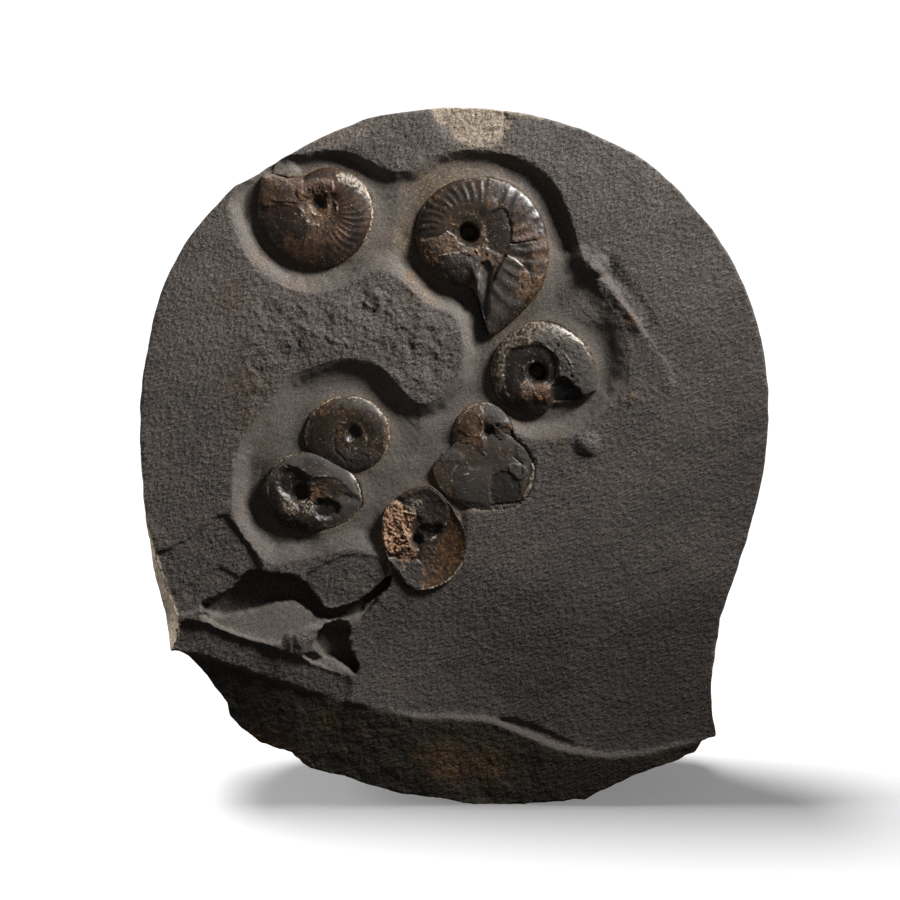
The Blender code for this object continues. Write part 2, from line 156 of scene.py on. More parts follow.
# Round bumps: centre, radius and rise
BEADS = [(597, 265, 12, 3.6), (588, 444, 12, 2.0), (375, 300, 11, 1.4), (286, 171, 13, 3.4)]
# Where the face dips right of the ridge, and how far the ridge moves right on each step down
GROOVE = [(604, 272), (617, 290), (630, 310), (638, 322)]
GROOVE_DEPTH = 2.6
GROOVE_HALF_WIDTH = 22.0
GROOVE_SLOPE = 0.68
# Raised step at the hollows' right edge: its edge as (y, x), its rise, where it begins and ends, how
# softly it does so, and how far left it reaches
STEP_EDGE = [(322, 636), (336, 650), (350, 658), (366, 668), (388, 676)]
STEP_RISE = 0.7
STEP_BEGINS = 318.0
STEP_ENDS = 396.0
STEP_FADES = 14.0
STEP_REACH = 30.0
# Lumps and dents of the broken and the split face: centre, radius and rise
SWELLS = [
    (298, 641, 20, 1.5), (355, 655, 80, -2.2), (330, 335, 50, 0.9), (262, 345, 34, 0.7), (420, 335, 40, 0.9),
    (300, 385, 24, -0.6), (412, 372, 30, 0.6), (190, 520, 60, -0.8), (650, 200, 90, 0.6),
    (540, 560, 110, 0.7),
]
# Outlines that several tables use: the notch in the top edge, two clay lenses and the left wall's edge
TOP_NOTCH = [(425, 80), (500, 80), (512, 120), (505, 140), (497, 150), (460, 147), (440, 130)]
LONG_LENS = [
    (200, 612), (225, 617), (250, 612), (285, 600), (300, 602), (322, 622), (352, 620), (385, 592),
    (355, 628), (340, 634), (315, 625), (290, 633), (280, 645), (245, 638), (205, 621),
]
SHORT_LENS = [(303, 653), (318, 655), (336, 661), (353, 671), (345, 675), (322, 667), (306, 660)]
LEFT_WALL = [
    (141, 455), (144, 490), (147, 523), (155, 547), (160, 567), (170, 597), (178, 613), (180, 625),
    (178, 638), (172, 652),
]
LEFT_WALL_STEEPNESS = 1.3
LEFT_WALL_DEPTH = 22.0
# Broken steps: outline, height at its upper and lower end, and how softly its edge falls
BREAKS = [
    (TOP_NOTCH, -2.4, -0.3, 10.0),
    ([(290, 130), (375, 90), (380, 125), (352, 140), (330, 150), (290, 155)], -2.0, -0.4, 9.0),
    ([(130, 562), (175, 548), (205, 528), (224, 512), (236, 528), (262, 560), (262, 575), (215, 600),
      (180, 612), (130, 615)], -1.5, -2.4, 3.0),
    ([(130, 598), (172, 592), (188, 588), (214, 566), (240, 575), (238, 584), (215, 602), (185, 615),
      (130, 618)], -2.6, -3.2, 3.0),
    ([(196, 608), (215, 598), (230, 593), (245, 573), (262, 571), (304, 579), (312, 592), (325, 614),
      (365, 600), (392, 572), (388, 590), (352, 622), (330, 626), (300, 612), (225, 622)], -11.0, -11.0, 3.0),
    (LONG_LENS, -6.0, -2.4, 4.0),
    ([(178, 622), (202, 622), (225, 632), (245, 639), (270, 645), (283, 655), (285, 698), (215, 676),
      (165, 668), (172, 640)], -2.6, -4.4, 4.0),
    ([(278, 650), (300, 660), (322, 668), (345, 676), (352, 684), (345, 708), (290, 700), (272, 690)],
     -2.2, -3.4, 8.0),
    ([(303, 577), (318, 567), (340, 556), (355, 553), (388, 560), (390, 575), (365, 600), (325, 612),
      (310, 590)], -0.8, -2.6, 4.0),
    ([(318, 628), (345, 622), (352, 632), (346, 642), (362, 677), (335, 664), (312, 648)], -11.0, -11.0, 3.0),
    (SHORT_LENS, -3.6, -1.8, 3.0),
    ([(496, 719), (512, 720), (535, 728), (560, 739), (580, 747), (562, 752), (540, 745), (518, 734)],
     -1.9, -0.5, 4.0),
]
# Upper edge of the broken foot
FOOT_LINE = [
    (150, 645), (172, 651), (215, 662), (245, 671), (290, 687), (345, 702), (415, 716), (490, 720),
    (520, 733), (560, 749), (610, 757), (650, 753), (700, 742), (760, 738),
]
# Height of the foot right under that edge, and so many steps further down, along the plate's width
FOOT_HOLLOW = [
    (150, -9), (172, -7), (245, -5.4), (315, -4), (380, -2), (415, -2.5), (490, -3), (600, -3), (717, -6),
]
FOOT_DRAWN_BACK = [
    (150, -26), (230, -17), (300, -11), (380, -9), (455, -8), (560, -9), (640, -12), (717, -18),
]
FOOT_REACH = 80.0
FOOT_SOFTNESS = 6.0
# How far above the foot the face begins to roll back, how far it does, and where it begins from the left
ROLL_START = 170.0
ROLL_DEPTH = 6.5
ROLL_LEFT = 340.0
ROLL_FADES = 120.0

# Areas of rough broken stone: outline, how strong and how softly edged each is
ROUGH_AREAS = [
    ([(245, 320), (268, 292), (300, 299), (335, 297), (365, 282), (382, 272), (402, 284), (430, 312),
      (456, 320), (460, 350), (458, 373), (440, 394), (421, 404), (398, 382), (380, 358), (345, 353),
      (318, 361), (288, 370), (266, 396), (250, 410), (238, 370)], 1.0, 40.0),
    ([(345, 143), (380, 116), (432, 110), (445, 140), (438, 150), (425, 160), (400, 171), (370, 158)],
     0.35, 10.0),
    ([(560, 285), (585, 262), (604, 280), (628, 300), (642, 322), (620, 330), (600, 326), (575, 320),
      (560, 312), (560, 295)], 1.0, 8.0),
    ([(150, 556), (205, 528), (224, 512), (262, 560), (304, 577), (352, 552), (392, 560), (388, 590),
      (352, 622), (362, 677), (330, 692), (240, 672), (180, 655), (160, 600)], 0.35, 10.0),
    ([(278, 628), (310, 624), (318, 640), (306, 656), (284, 654)], 1.0, 6.0),
    ([(228, 440), (252, 436), (250, 470), (232, 472)], 0.7, 10.0),
    ([(574, 433), (600, 433), (602, 456), (574, 458)], 0.9, 8.0),
    ([(622, 386), (640, 386), (640, 404), (622, 404)], 0.9, 8.0),
    (TOP_NOTCH, 0.5, 6.0),
]
FOOT_ROUGHNESS = 0.6
SMOOTH_LENSES = [LONG_LENS, SHORT_LENS]
# Pale fresh breaks along the outline: outline, how pale and how softly edged each is
PALE_EDGES = [
    ([(428, 90), (500, 90), (510, 118), (511, 126), (502, 137), (494, 147), (470, 147), (457, 140),
      (450, 129), (432, 116)], 0.60, 5.0),
    ([(500, 90), (565, 100), (552, 117), (512, 118)], 0.45, 5.0),
    ([(315, 147), (330, 120), (375, 108), (381, 124), (365, 133), (352, 140), (330, 150)], 0.12, 7.0),
    ([(120, 455), *LEFT_WALL, (120, 660)], 1.0, 2.0),
    ([(711, 640), (735, 640), (735, 740), (716, 740), (712, 700)], 0.5, 3.0),
]
# Behind the face the pale breaks fray and fade: heights where each begins and ends, and the fraying's size
FRAY_BEGINS = -8.0
FRAY_MOST = 24.0
FRAY_WIDTH = 14.0
PALE_ENDS = -30.0
PALE_FADES = 22.0
# The split face's grain runs up to the right, and its bumps are longer that way
GRAIN_RISE = math.radians(40.0)
GRAIN_STRETCH = 2.2
# The grain's height in millimetres, what is added to it near the outline, and how far in that reaches
GRAIN_HEIGHT = 0.16
GRAIN_AT_EDGE = 0.12
EDGE_REACH = 70.0
# Height of the split face's wider and widest swells, and of those of the abraded and smooth stone
GRAIN_SWELLS = 0.30
FACE_SWELLS = 0.40
SMOOTH_SWELLS = 0.14
# Forms too small for the tables above: height in millimetres, or reach in steps where they move an
# outline, then width in steps and the seed of their noise
FORMS = {
    "rim_waves_x": (1.8, 16.0, 11), "rim_nicks_x": (0.8, 4.5, 12),
    "rim_waves_y": (1.8, 16.0, 21), "rim_nicks_y": (0.8, 4.5, 22),
    "lumps": (1.1, 24.0, 35), "small_lumps": (0.42, 9.0, 36), "splinter_bends": (3.0, 9.0, 34),
    "splinters": (0.30, 15.0, 31), "small_splinters": (0.14, 6.0, 32),
    "crumbs": (0.26, 3.0, 33), "small_crumbs": (0.14, 1.8, 37),
    "back_faces": (0.8, 34.0, 61), "small_back_faces": (0.35, 13.0, 62), "back_lumps": (0.35, 9.0, 63),
    "layer_waves_x": (2.0, 8.0, 71), "layer_waves_y": (2.0, 8.0, 72),
    "seam_waves_x": (1.3, 6.0, 73), "seam_waves_y": (1.3, 6.0, 74),
    "shell_breaks": (0.42, 6.5, 81), "small_shell_breaks": (0.26, 3.2, 82), "shell_crumbs": (0.14, 2.0, 83),
    "shell_dents": (0.08, 9.0, 86), "shell_pits": (0.05, 4.0, 89), "shell_grain": (0.02, 2.0, 87),
}
# Chips of the outline as shares of its radius, and below which y, from the sheet's middle, they grow
EDGE_CHIPS = 0.0030
FOOT_CHIPS = 0.0045
FOOT_CHIPS_BEGIN = 200.0
FOOT_CHIPS_GROW = 80.0
# Rusty and ochre stains on the stone: centre, radius and strength
OCHRE = [
    (262, 746, 22, 0.7), (290, 752, 16, 0.5), (327, 722, 10, 0.7), (360, 732, 8, 0.4), (450, 764, 26, 0.8),
    (490, 768, 22, 0.7), (425, 758, 14, 0.5), (631, 320, 6, 1.0), (632, 396, 6, 0.6), (245, 385, 30, 0.25),
    (412, 276, 8, 0.6), (207, 522, 5, 0.5), (235, 250, 8, 0.2), (560, 440, 8, 0.35), (266, 448, 6, 0.3),
    (230, 300, 26, 0.2), (250, 420, 14, 0.25),
]
# Sand and brown dust left by the abrading, mostly beside the largest shell
SAND = [
    (430, 195, 30, 0.9), (412, 235, 26, 0.9), (455, 172, 24, 0.7), (425, 285, 24, 0.5), (375, 250, 14, 0.3),
    (300, 280, 20, 0.3), (262, 255, 14, 0.5), (500, 165, 22, 0.4),
]
DUST_BESIDE_SHELLS = 0.55

# Each coiled shell: where its outline is measured from and the heights of its rim, crest and base, its eye
# (the open middle of the coil) with radius and depth, its ribs (count round a full turn, height, first and
# last bearing, inner and outer share of the radius) and its outline as (bearing clockwise from right, radius)
SHELLS = {
    "ammonite_top_left": dict(
        centre=(319, 210), rim=-3.2, crest=1.5, base=-13.0, eye=(317, 203), hub=7.0, hole=2.6,
        ribs=[(36, 0.34, -62, 80, 0.36, 0.88), (24, 0.22, 90, 170, 0.40, 0.8)],
        radii=[(245, 37), (270, 42), (315, 50), (360, 54), (405, 56), (450, 58), (495, 60), (540, 62),
               (571, 66), (578, 60), (585, 48), (601, 38)]),
    "ammonite_top_large": dict(
        centre=(468, 235), rim=-2.8, crest=2.2, base=-14.0, eye=(468, 233), hub=9.0, hole=6.5,
        ribs=[(34, 0.45, -215, -62, 0.52, 0.93), (31, 0.62, -60, 84, 0.46, 0.95)],
        radii=[(92, 51), (105, 51), (135, 52), (180, 53), (225, 54), (272, 57), (319, 69), (363, 80),
               (390, 89), (417, 95), (434, 103), (438.5, 104), (441, 68), (445, 54)]),
    "ammonite_middle_right": dict(
        centre=(537, 372), rim=-2.8, crest=1.6, base=-13.0, eye=(537, 373), hub=8.5, hole=5.5,
        ribs=[(40, 0.35, 158, 206, 0.45, 0.78)],
        radii=[(60, 36), (80, 42), (99, 45), (138, 46), (189, 46), (229, 46), (273, 51), (317, 53),
               (363, 59), (378, 63), (388, 58), (402, 44)]),
    "ammonite_pair_upper": dict(
        centre=(350, 437), rim=-3.0, crest=0.2, base=-12.0, eye=(353, 434), hub=6.0, hole=2.4,
        ribs=[(36, 0.10, -60, 150, 0.5, 0.85)],
        radii=[(0, 40), (45, 38), (90, 37), (135, 42), (180, 47), (225, 44), (270, 40), (315, 40)]),
    "ammonite_pair_lower": dict(
        centre=(298, 498), rim=-3.4, crest=1.5, base=-14.0, eye=(300, 494), hub=8.0, hole=3.0,
        ribs=[],
        radii=[(88, 33), (147, 32), (180, 35), (235, 40), (279, 46), (320, 55), (348, 63), (367, 66),
               (377, 60), (405, 45)]),
    "ammonite_smooth_cast": dict(
        centre=(487, 462), rim=-0.9, crest=1.1, base=-8.0, eye=(487, 462), hub=0.0, hole=0.0,
        ribs=[],
        radii=[(9, 50), (35, 54), (52, 54), (86, 49), (122, 50), (150, 55), (172, 55), (198, 40),
               (270, 25), (340, 42)]),
    "ammonite_small_broken": dict(
        centre=(485, 435), rim=-2.2, crest=1.4, base=-9.0, eye=(487, 432), hub=5.0, hole=2.0,
        ribs=[],
        radii=[(0, 30), (60, 33), (90, 33), (150, 33), (200, 32), (270, 32), (320, 29)]),
    "ammonite_crystal_filled": dict(
        centre=(422, 540), rim=1.3, crest=-1.6, base=-9.0, eye=(416, 541), hub=5.0, hole=3.0,
        ribs=[],
        radii=[(6, 45), (47, 48), (80, 49), (98, 50), (126, 40), (160, 38), (194, 41), (219, 47),
               (244, 50), (278, 55), (300, 47), (323, 42)]),
}
# The solid that ties the sheet to the frame, and how the part's own source draws it
PLACING_SHELL = "ammonite_top_left"
SOLID_SPOKES = 36
SOLID_RINGS = (0.12, 0.24, 0.36, 0.60, 0.84, 1.0)
SOLID_SQUARENESS = 2.4
SOLID_FULLNESS = 0.6
# A whorl's profile from the eye to the rim: how square and how full it is, how much it sinks towards the
# eye, and over which share of the way
WHORL_SQUARENESS = 2.3
WHORL_FULLNESS = 0.60
WHORL_SINKS = 0.24
SINKING_SHARE = 0.55
# Height of the inner whorls that show round the eye, and how tightly they are wound
INNER_WHORLS = 0.14
WINDING = 2.2
FLAKE_DEPTH = 0.10
# Nicks of a shell's outline, as a share of its radius
SHELL_NICKS = 0.008
# How a rib bends on its way out and hooks back at the rim, in radians, how sharp it is, which part of its
# height lies below the whorl, and over how many degrees a stretch of ribs or of pale rim ends
RIB_BEND = 0.22
RIB_HOOK = 0.06
RIB_SHARPNESS = 1.3
RIB_SUNK = 0.35
RIB_FADE = 12.0
RIM_LINE_FADE = 15.0
# Height in metres that the materials' finest relief stands for
STONE_GRAIN_DEPTH = 0.0011
SHELL_GRAIN_DEPTH = 0.0008
# How far inside a shell's outline the stone is cut away for it, and how far above the shell's base
SEAT_MARGIN = 2.0
SEAT_CLEARANCE = 1.0

# Broken layers and patches of each shell: outline, step in height, how softly the step falls, how
# crumbled the patch is, what it is made of and how strongly. The 'dark' patches are painted shade, laid
# in recesses and on sides turned from the light, and some 'pale' and 'grey' patches on lit rims are partly
# painted highlights.
LAYERS = {
    "ammonite_top_left": [
        ([(250, 170), (300, 165), (303, 185), (300, 203), (285, 202), (273, 201), (266, 207), (250, 207)],
         0.55, 3.0, 0.25, "rust", 0.35),
        ([(296, 186), (308, 180), (330, 178), (336, 190), (328, 198), (312, 196), (302, 200), (296, 196)],
         0.3, 4.0, 0.5, "rust", 0.75),
        # Partly painted highlight: grey band along the left rim, where the rounded edge catches the light
        ([(252, 207), (266, 207), (270, 225), (276, 240), (290, 258), (282, 262), (262, 242), (254, 222)],
         -0.1, 8.0, 0.0, "grey", 0.55),
        ([(303, 192), (325, 186), (338, 198), (338, 214), (328, 224), (312, 222), (303, 210)],
         -0.9, 10.0, 0.35, "rust", 0.5),
        ([(312, 228), (330, 224), (345, 226), (350, 236), (336, 244), (315, 246), (306, 238)],
         0.0, 8.0, 0.15, "rust", 0.42),
        ([(268, 208), (285, 204), (303, 212), (306, 226), (302, 240), (285, 238), (274, 224)],
         -0.25, 5.0, 0.0, "dark", 0.55),
        # Painted shade: the lower right side, turned from the light
        ([(318, 246), (350, 238), (366, 226), (362, 250), (340, 266), (318, 268)],
         0.0, 12.0, 0.0, "dark", 0.6),
        # Painted highlight: pale patch on the upper right rim, facing the light
        ([(336, 172), (352, 174), (366, 190), (362, 196), (350, 184), (334, 180)],
         0.05, 5.0, 0.4, "pale", 0.6),
    ],
    "ammonite_top_large": [
        ([(416, 238), (434, 240), (447, 231), (456, 236), (460, 246), (452, 254), (440, 258), (436, 270),
          (428, 276), (418, 262)], 0.25, 4.0, 0.5, "rust", 0.75),
        ([(440, 258), (455, 252), (466, 249), (476, 254), (480, 266), (478, 280), (462, 288), (444, 286),
          (436, 274)], 0.9, 7.0, 0.35, "dark", 0.45),
        ([(456, 248), (478, 247), (498, 252), (504, 258), (494, 268), (482, 262), (470, 256)],
         0.0, 4.0, 0.7, "rust", 0.6),
        ([(488, 212), (506, 208), (512, 222), (510, 246), (500, 256), (488, 250), (484, 232)],
         -0.75, 3.0, 0.12, "dark", 0.5),
        ([(505, 255), (519, 262), (527, 271), (531, 284), (525, 300), (512, 318), (496, 336), (486, 340),
          (486, 318), (489, 300), (492, 285), (498, 268)], 0.55, 2.5, 0.1, "grey", 0.35),
        ([(516, 270), (527, 270), (533, 283), (528, 298), (518, 300), (515, 290), (521, 282)],
         -0.35, 2.5, 0.6, "rust", 0.9),
        ([(530, 238), (548, 232), (550, 262), (545, 284), (535, 296), (530, 280), (533, 262)],
         0.0, 5.0, 0.3, "rust", 0.55),
        ([(508, 225), (535, 220), (538, 238), (512, 244)], -0.1, 4.0, 0.2, "rust", 0.4),
        ([(486, 195), (496, 196), (498, 208), (488, 210)], 0.0, 5.0, 0.3, "rust", 0.65),
        ([(478, 262), (492, 262), (490, 285), (488, 325), (478, 300)], -2.0, 3.0, 0.2, "stone", 0.9),
        # Painted shade: the lower right of the whorl, turned from the light
        ([(500, 318), (520, 305), (530, 298), (522, 318), (500, 338)], 0.0, 8.0, 0.0, "dark", 0.7),
    ],
    "ammonite_middle_right": [
        # Partly painted highlight: pale band on the upper left and top rim
        ([(488, 370), (490, 350), (500, 334), (516, 323), (540, 318), (562, 322), (576, 332), (566, 338),
          (558, 338), (545, 345), (535, 341), (528, 343), (515, 348), (506, 352), (503, 364), (502, 380),
          (500, 396), (492, 388)], 0.35, 2.0, 0.0, "pale", 0.30),
        ([(533, 333), (545, 330), (560, 336), (558, 350), (553, 353), (543, 344), (533, 342)],
         -0.25, 2.0, 0.55, "grey", 0.9),
        ([(506, 352), (528, 345), (543, 346), (556, 353), (558, 372), (550, 384), (532, 384), (516, 388),
          (508, 398), (503, 380)], -0.75, 3.0, 0.05, "dark", 0.75),
        ([(556, 344), (566, 337), (576, 343), (590, 350), (598, 372), (602, 390), (584, 396), (573, 388),
          (568, 378), (557, 376)], 0.9, 2.5, 0.8, "grey", 1.0),
        ([(518, 386), (526, 380), (533, 384), (534, 397), (526, 404), (518, 400)],
         1.1, 8.0, 0.5, "rust", 0.8),
        ([(533, 384), (546, 383), (552, 390), (548, 402), (538, 404), (532, 398)],
         1.2, 8.0, 0.6, "rust", 1.0),
        ([(552, 380), (566, 378), (580, 392), (584, 398), (566, 404), (552, 402)],
         -2.6, 5.0, 0.2, "dark", 1.0),
        # Painted shade: dark crescent along the lower edge, on the side turned from the light
        ([(500, 398), (530, 404), (556, 402), (566, 408), (540, 424), (510, 414)],
         -0.2, 8.0, 0.2, "dark", 0.7),
    ],
    "ammonite_pair_upper": [
        ([(318, 402), (336, 396), (340, 408), (330, 416), (318, 416)], 0.0, 6.0, 0.25, "rust", 0.45),
        ([(298, 420), (308, 408), (312, 420), (308, 448), (299, 448)], -0.25, 4.0, 0.0, "grey", 0.5),
        ([(382, 405), (392, 415), (392, 452), (384, 458), (382, 440)], -0.2, 3.0, 0.6, "rust", 0.6),
        # Partly painted highlight: grey band on the top rim
        ([(335, 398), (370, 398), (382, 408), (370, 410), (340, 406)], 0.0, 6.0, 0.1, "grey", 0.5),
        # Painted shade: the lower side of the whorl
        ([(340, 446), (356, 452), (372, 446), (378, 462), (352, 476), (338, 462)],
         0.0, 8.0, 0.35, "dark", 0.45),
    ],
    "ammonite_pair_lower": [
        # Partly painted highlight: grey band along the top of the whorl
        ([(262, 505), (258, 480), (272, 462), (292, 452), (320, 450), (345, 465), (362, 500), (352, 492),
          (338, 478), (318, 477), (306, 472), (296, 468), (280, 466), (270, 482), (268, 500)],
         0.35, 2.0, 0.0, "grey", 0.65),
        ([(300, 456), (318, 455), (330, 462), (322, 470), (306, 468)], 0.0, 8.0, 0.0, "dark", 0.55),
        ([(282, 468), (298, 470), (308, 476), (306, 494), (296, 502), (284, 496), (276, 484)],
         -1.6, 7.0, 0.1, "dark", 0.8),
        ([(306, 484), (322, 482), (332, 492), (328, 504), (314, 506), (306, 496)],
         -0.3, 4.0, 0.8, "rust", 0.9),
        ([(300, 498), (312, 500), (314, 514), (304, 516)], -0.2, 4.0, 0.9, "pale", 0.6),
        ([(282, 500), (296, 500), (298, 516), (286, 518)], -0.1, 4.0, 0.8, "pale", 0.45),
        ([(314, 500), (334, 500), (340, 510), (328, 520), (314, 516)], -2.2, 6.0, 0.2, "dark", 0.9),
        ([(335, 496), (352, 494), (366, 508), (350, 520), (330, 530), (322, 522), (338, 508)],
         -0.8, 4.0, 0.1, "grey", 0.8),
        ([(270, 508), (300, 518), (318, 522), (310, 532), (280, 530)], -0.2, 5.0, 0.4, "dark", 0.4),
    ],
    "ammonite_smooth_cast": [
        ([(430, 462), (452, 470), (456, 490), (450, 500), (432, 490), (428, 474)],
         -0.15, 5.0, 0.15, "rust", 0.38),
        ([(452, 466), (496, 468), (490, 486), (492, 504), (468, 506), (452, 496)],
         0.25, 6.0, 0.0, "grey", 0.35),
        # Painted shade: the lower right quarter, turned from the light
        ([(494, 470), (516, 474), (522, 492), (514, 504), (492, 505), (489, 486)],
         -0.5, 2.5, 0.1, "dark", 0.85),
        ([(506, 464), (520, 462), (528, 470), (524, 480), (512, 478)], 0.35, 2.0, 0.35, "grey", 0.9),
        ([(532, 462), (542, 462), (540, 480), (532, 494), (522, 502), (522, 496), (528, 486), (532, 474)],
         0.5, 2.0, 0.3, "pale", 0.5),
        ([(455, 500), (490, 505), (488, 514), (462, 512)], -0.2, 4.0, 0.2, "dark", 0.5),
        ([(515, 440), (545, 440), (545, 458), (530, 462), (516, 458)], 0.1, 4.0, 0.5, "grey", 0.9),
        ([(432, 446), (456, 448), (466, 462), (446, 462), (430, 458)], 0.2, 4.0, 0.2, "grey", 0.8),
    ],
    "ammonite_small_broken": [
        ([(462, 408), (478, 402), (483, 412), (482, 432), (476, 440), (458, 432), (456, 420)],
         0.25, 3.0, 0.15, "rust", 0.45),
        ([(454, 434), (474, 434), (476, 452), (466, 462), (456, 452)], -0.15, 5.0, 0.35, "rust", 0.8),
        ([(472, 456), (492, 454), (500, 462), (486, 470), (470, 466)], -0.2, 3.0, 0.4, "rust", 0.75),
        ([(484, 428), (500, 422), (514, 432), (516, 448), (508, 462), (494, 460), (484, 448)],
         -0.9, 4.0, 1.2, "dark", 0.5),
        ([(484, 400), (500, 406), (508, 420), (496, 422), (484, 418)], -0.3, 5.0, 0.4, "grey", 0.9),
        ([(492, 446), (512, 440), (514, 460), (500, 466), (490, 458)], 0.2, 4.0, 0.9, "pale", 0.3),
    ],
    "ammonite_crystal_filled": [
        ([(378, 520), (384, 502), (396, 500), (410, 508), (418, 516), (408, 526), (412, 538), (404, 552),
          (388, 554), (380, 540)], 1.4, 5.0, 2.0, "crystal", 0.85),
        ([(398, 552), (412, 538), (418, 552), (410, 562), (398, 564)], 0.6, 4.0, 1.5, "crystal", 0.4),
        ([(396, 488), (430, 480), (446, 496), (450, 514), (442, 530), (424, 532), (418, 514), (402, 506)],
         0.9, 5.0, 0.35, "dark", 0.30),
        ([(418, 526), (444, 524), (440, 536), (424, 542), (416, 552), (410, 542)],
         -1.8, 5.0, 0.3, "dark", 1.0),
        ([(386, 556), (404, 562), (420, 560), (426, 574), (420, 592), (400, 590), (388, 574)],
         1.0, 4.0, 0.7, "grey", 0.95),
        ([(452, 508), (462, 516), (468, 534), (464, 556), (448, 578), (426, 592), (420, 582), (430, 560),
          (436, 544), (446, 528), (447, 518)], 0.0, 4.0, 0.06, "rust", 0.80),
        ([(424, 546), (436, 546), (440, 560), (430, 582), (420, 582), (420, 562)],
         -0.2, 6.0, 0.6, "rust", 0.4),
        ([(402, 500), (420, 498), (426, 510), (412, 516)], 0.2, 3.0, 0.8, "pale", 0.35),
    ],
}
# Thin raised lines on the shells, such as seams and the edges of inner whorls: points, half width, rise,
# what they are made of and how strongly. The 'dark' lines paint shade into cracks, and the pale arcs round
# the eyes are partly painted highlights on the whorl edges.
SEAMS = {
    "ammonite_top_left": [
        # Painted highlights: pale arcs on the inner whorls' edges round the eye
        ([(301, 214), (304, 220), (310, 224), (317, 225)], 2.6, 0.75, "pale", 0.95),
        ([(312, 211), (315, 214), (320, 215)], 2.2, 0.6, "pale", 0.9),
        ([(333, 199), (336, 204), (336, 209)], 2.0, 0.55, "pale", 0.8),
        ([(326, 200), (328, 205), (327, 209)], 1.8, 0.4, "pale", 0.5),
        ([(268, 206), (273, 202), (285, 203), (296, 205), (304, 213)], 2.0, 0.4, "pale", 0.22),
    ],
    "ammonite_top_large": [
        ([(434, 242), (441, 237), (447, 231), (453, 235)], 1.8, 0.4, "pale", 0.35),
        ([(440, 255), (452, 253), (464, 250), (475, 249), (480, 255)], 2.0, 0.5, "pale", 0.5),
        ([(480, 232), (484, 240), (483, 248)], 1.8, 0.4, "pale", 0.3),
        ([(505, 255), (499, 266), (493, 279), (489, 287)], 3.2, -1.1, "dark", 0.8),
        ([(505, 254), (514, 259), (524, 266), (529, 275)], 1.8, 0.45, "rust", 0.7),
        ([(512, 214), (508, 222), (512, 232), (509, 244)], 2.0, -0.4, "dark", 0.5),
        ([(512, 243), (524, 242), (536, 240)], 2.2, -0.9, "dark", 0.8),
    ],
    "ammonite_middle_right": [
        ([(522, 375), (523, 368), (528, 363), (534, 361)], 1.6, 0.7, "pale", 0.4),
        ([(519, 388), (521, 384), (527, 380)], 1.8, 0.6, "pale", 0.4),
        ([(503, 362), (505, 355), (508, 351)], 2.2, 0.5, "pale", 0.5),
        ([(533, 342), (543, 343), (551, 350), (556, 354)], 1.8, 0.5, "pale", 0.45),
        ([(563, 352), (568, 358), (572, 367)], 1.8, 0.6, "pale", 0.4),
        ([(571, 376), (578, 380), (570, 386)], 3.0, -1.2, "dark", 0.8),
    ],
    "ammonite_pair_upper": [
        # Painted highlights: pale arcs beside the eye
        ([(350, 447), (354, 449), (359, 448)], 2.0, 0.6, "pale", 0.8),
        ([(363, 444), (366, 440), (365, 435)], 1.8, 0.5, "pale", 0.6),
        ([(338, 422), (346, 423)], 1.5, 0.3, "pale", 0.4),
        ([(307, 452), (305, 436), (308, 422), (316, 410)], 1.6, 0.4, "pale", 0.35),
        ([(336, 430), (333, 440), (336, 452), (345, 461)], 2.5, -0.4, "dark", 0.4),
    ],
    "ammonite_pair_lower": [
        ([(284, 466), (292, 470), (303, 470), (313, 477), (326, 476)], 1.9, 0.45, "pale", 0.4),
        ([(308, 492), (312, 485), (318, 482)], 1.8, 0.6, "rust", 0.8),
        ([(268, 500), (266, 484), (272, 470)], 1.6, 0.3, "pale", 0.3),
        ([(334, 494), (322, 500), (318, 508)], 2.2, -0.6, "dark", 0.6),
    ],
    "ammonite_smooth_cast": [
        ([(456, 466), (451, 474), (452, 482), (453, 489)], 1.6, 0.35, "pale", 0.30),
        ([(462, 476), (468, 473), (473, 470)], 1.6, 0.35, "pale", 0.45),
        ([(466, 462), (470, 470)], 1.5, 0.3, "pale", 0.25),
        ([(492, 505), (508, 504), (520, 503)], 2.4, -0.9, "dark", 1.0),
        ([(480, 510), (492, 509), (503, 508)], 1.8, 0.4, "pale", 0.5),
        ([(514, 457), (522, 464), (522, 474), (516, 478)], 1.8, -0.6, "dark", 0.8),
    ],
    "ammonite_small_broken": [
        ([(478, 414), (483, 424), (483, 432), (479, 441)], 1.6, 0.5, "pale", 0.30),
        ([(482, 452), (487, 456), (492, 458)], 1.8, 0.5, "pale", 0.7),
        ([(454, 452), (453, 438), (456, 426), (466, 411), (478, 402)], 1.5, 0.5, "pale", 0.35),
    ],
    "ammonite_crystal_filled": [
        ([(447, 521), (443, 529), (438, 536), (430, 540)], 1.8, 0.7, "pale", 0.6),
        ([(421, 520), (428, 528)], 1.5, 0.4, "pale", 0.3),
        ([(404, 512), (412, 513), (422, 516)], 2.0, 0.6, "pale", 0.4),
        ([(394, 580), (402, 572), (404, 566)], 2.2, 0.6, "pale", 0.4),
    ],
}
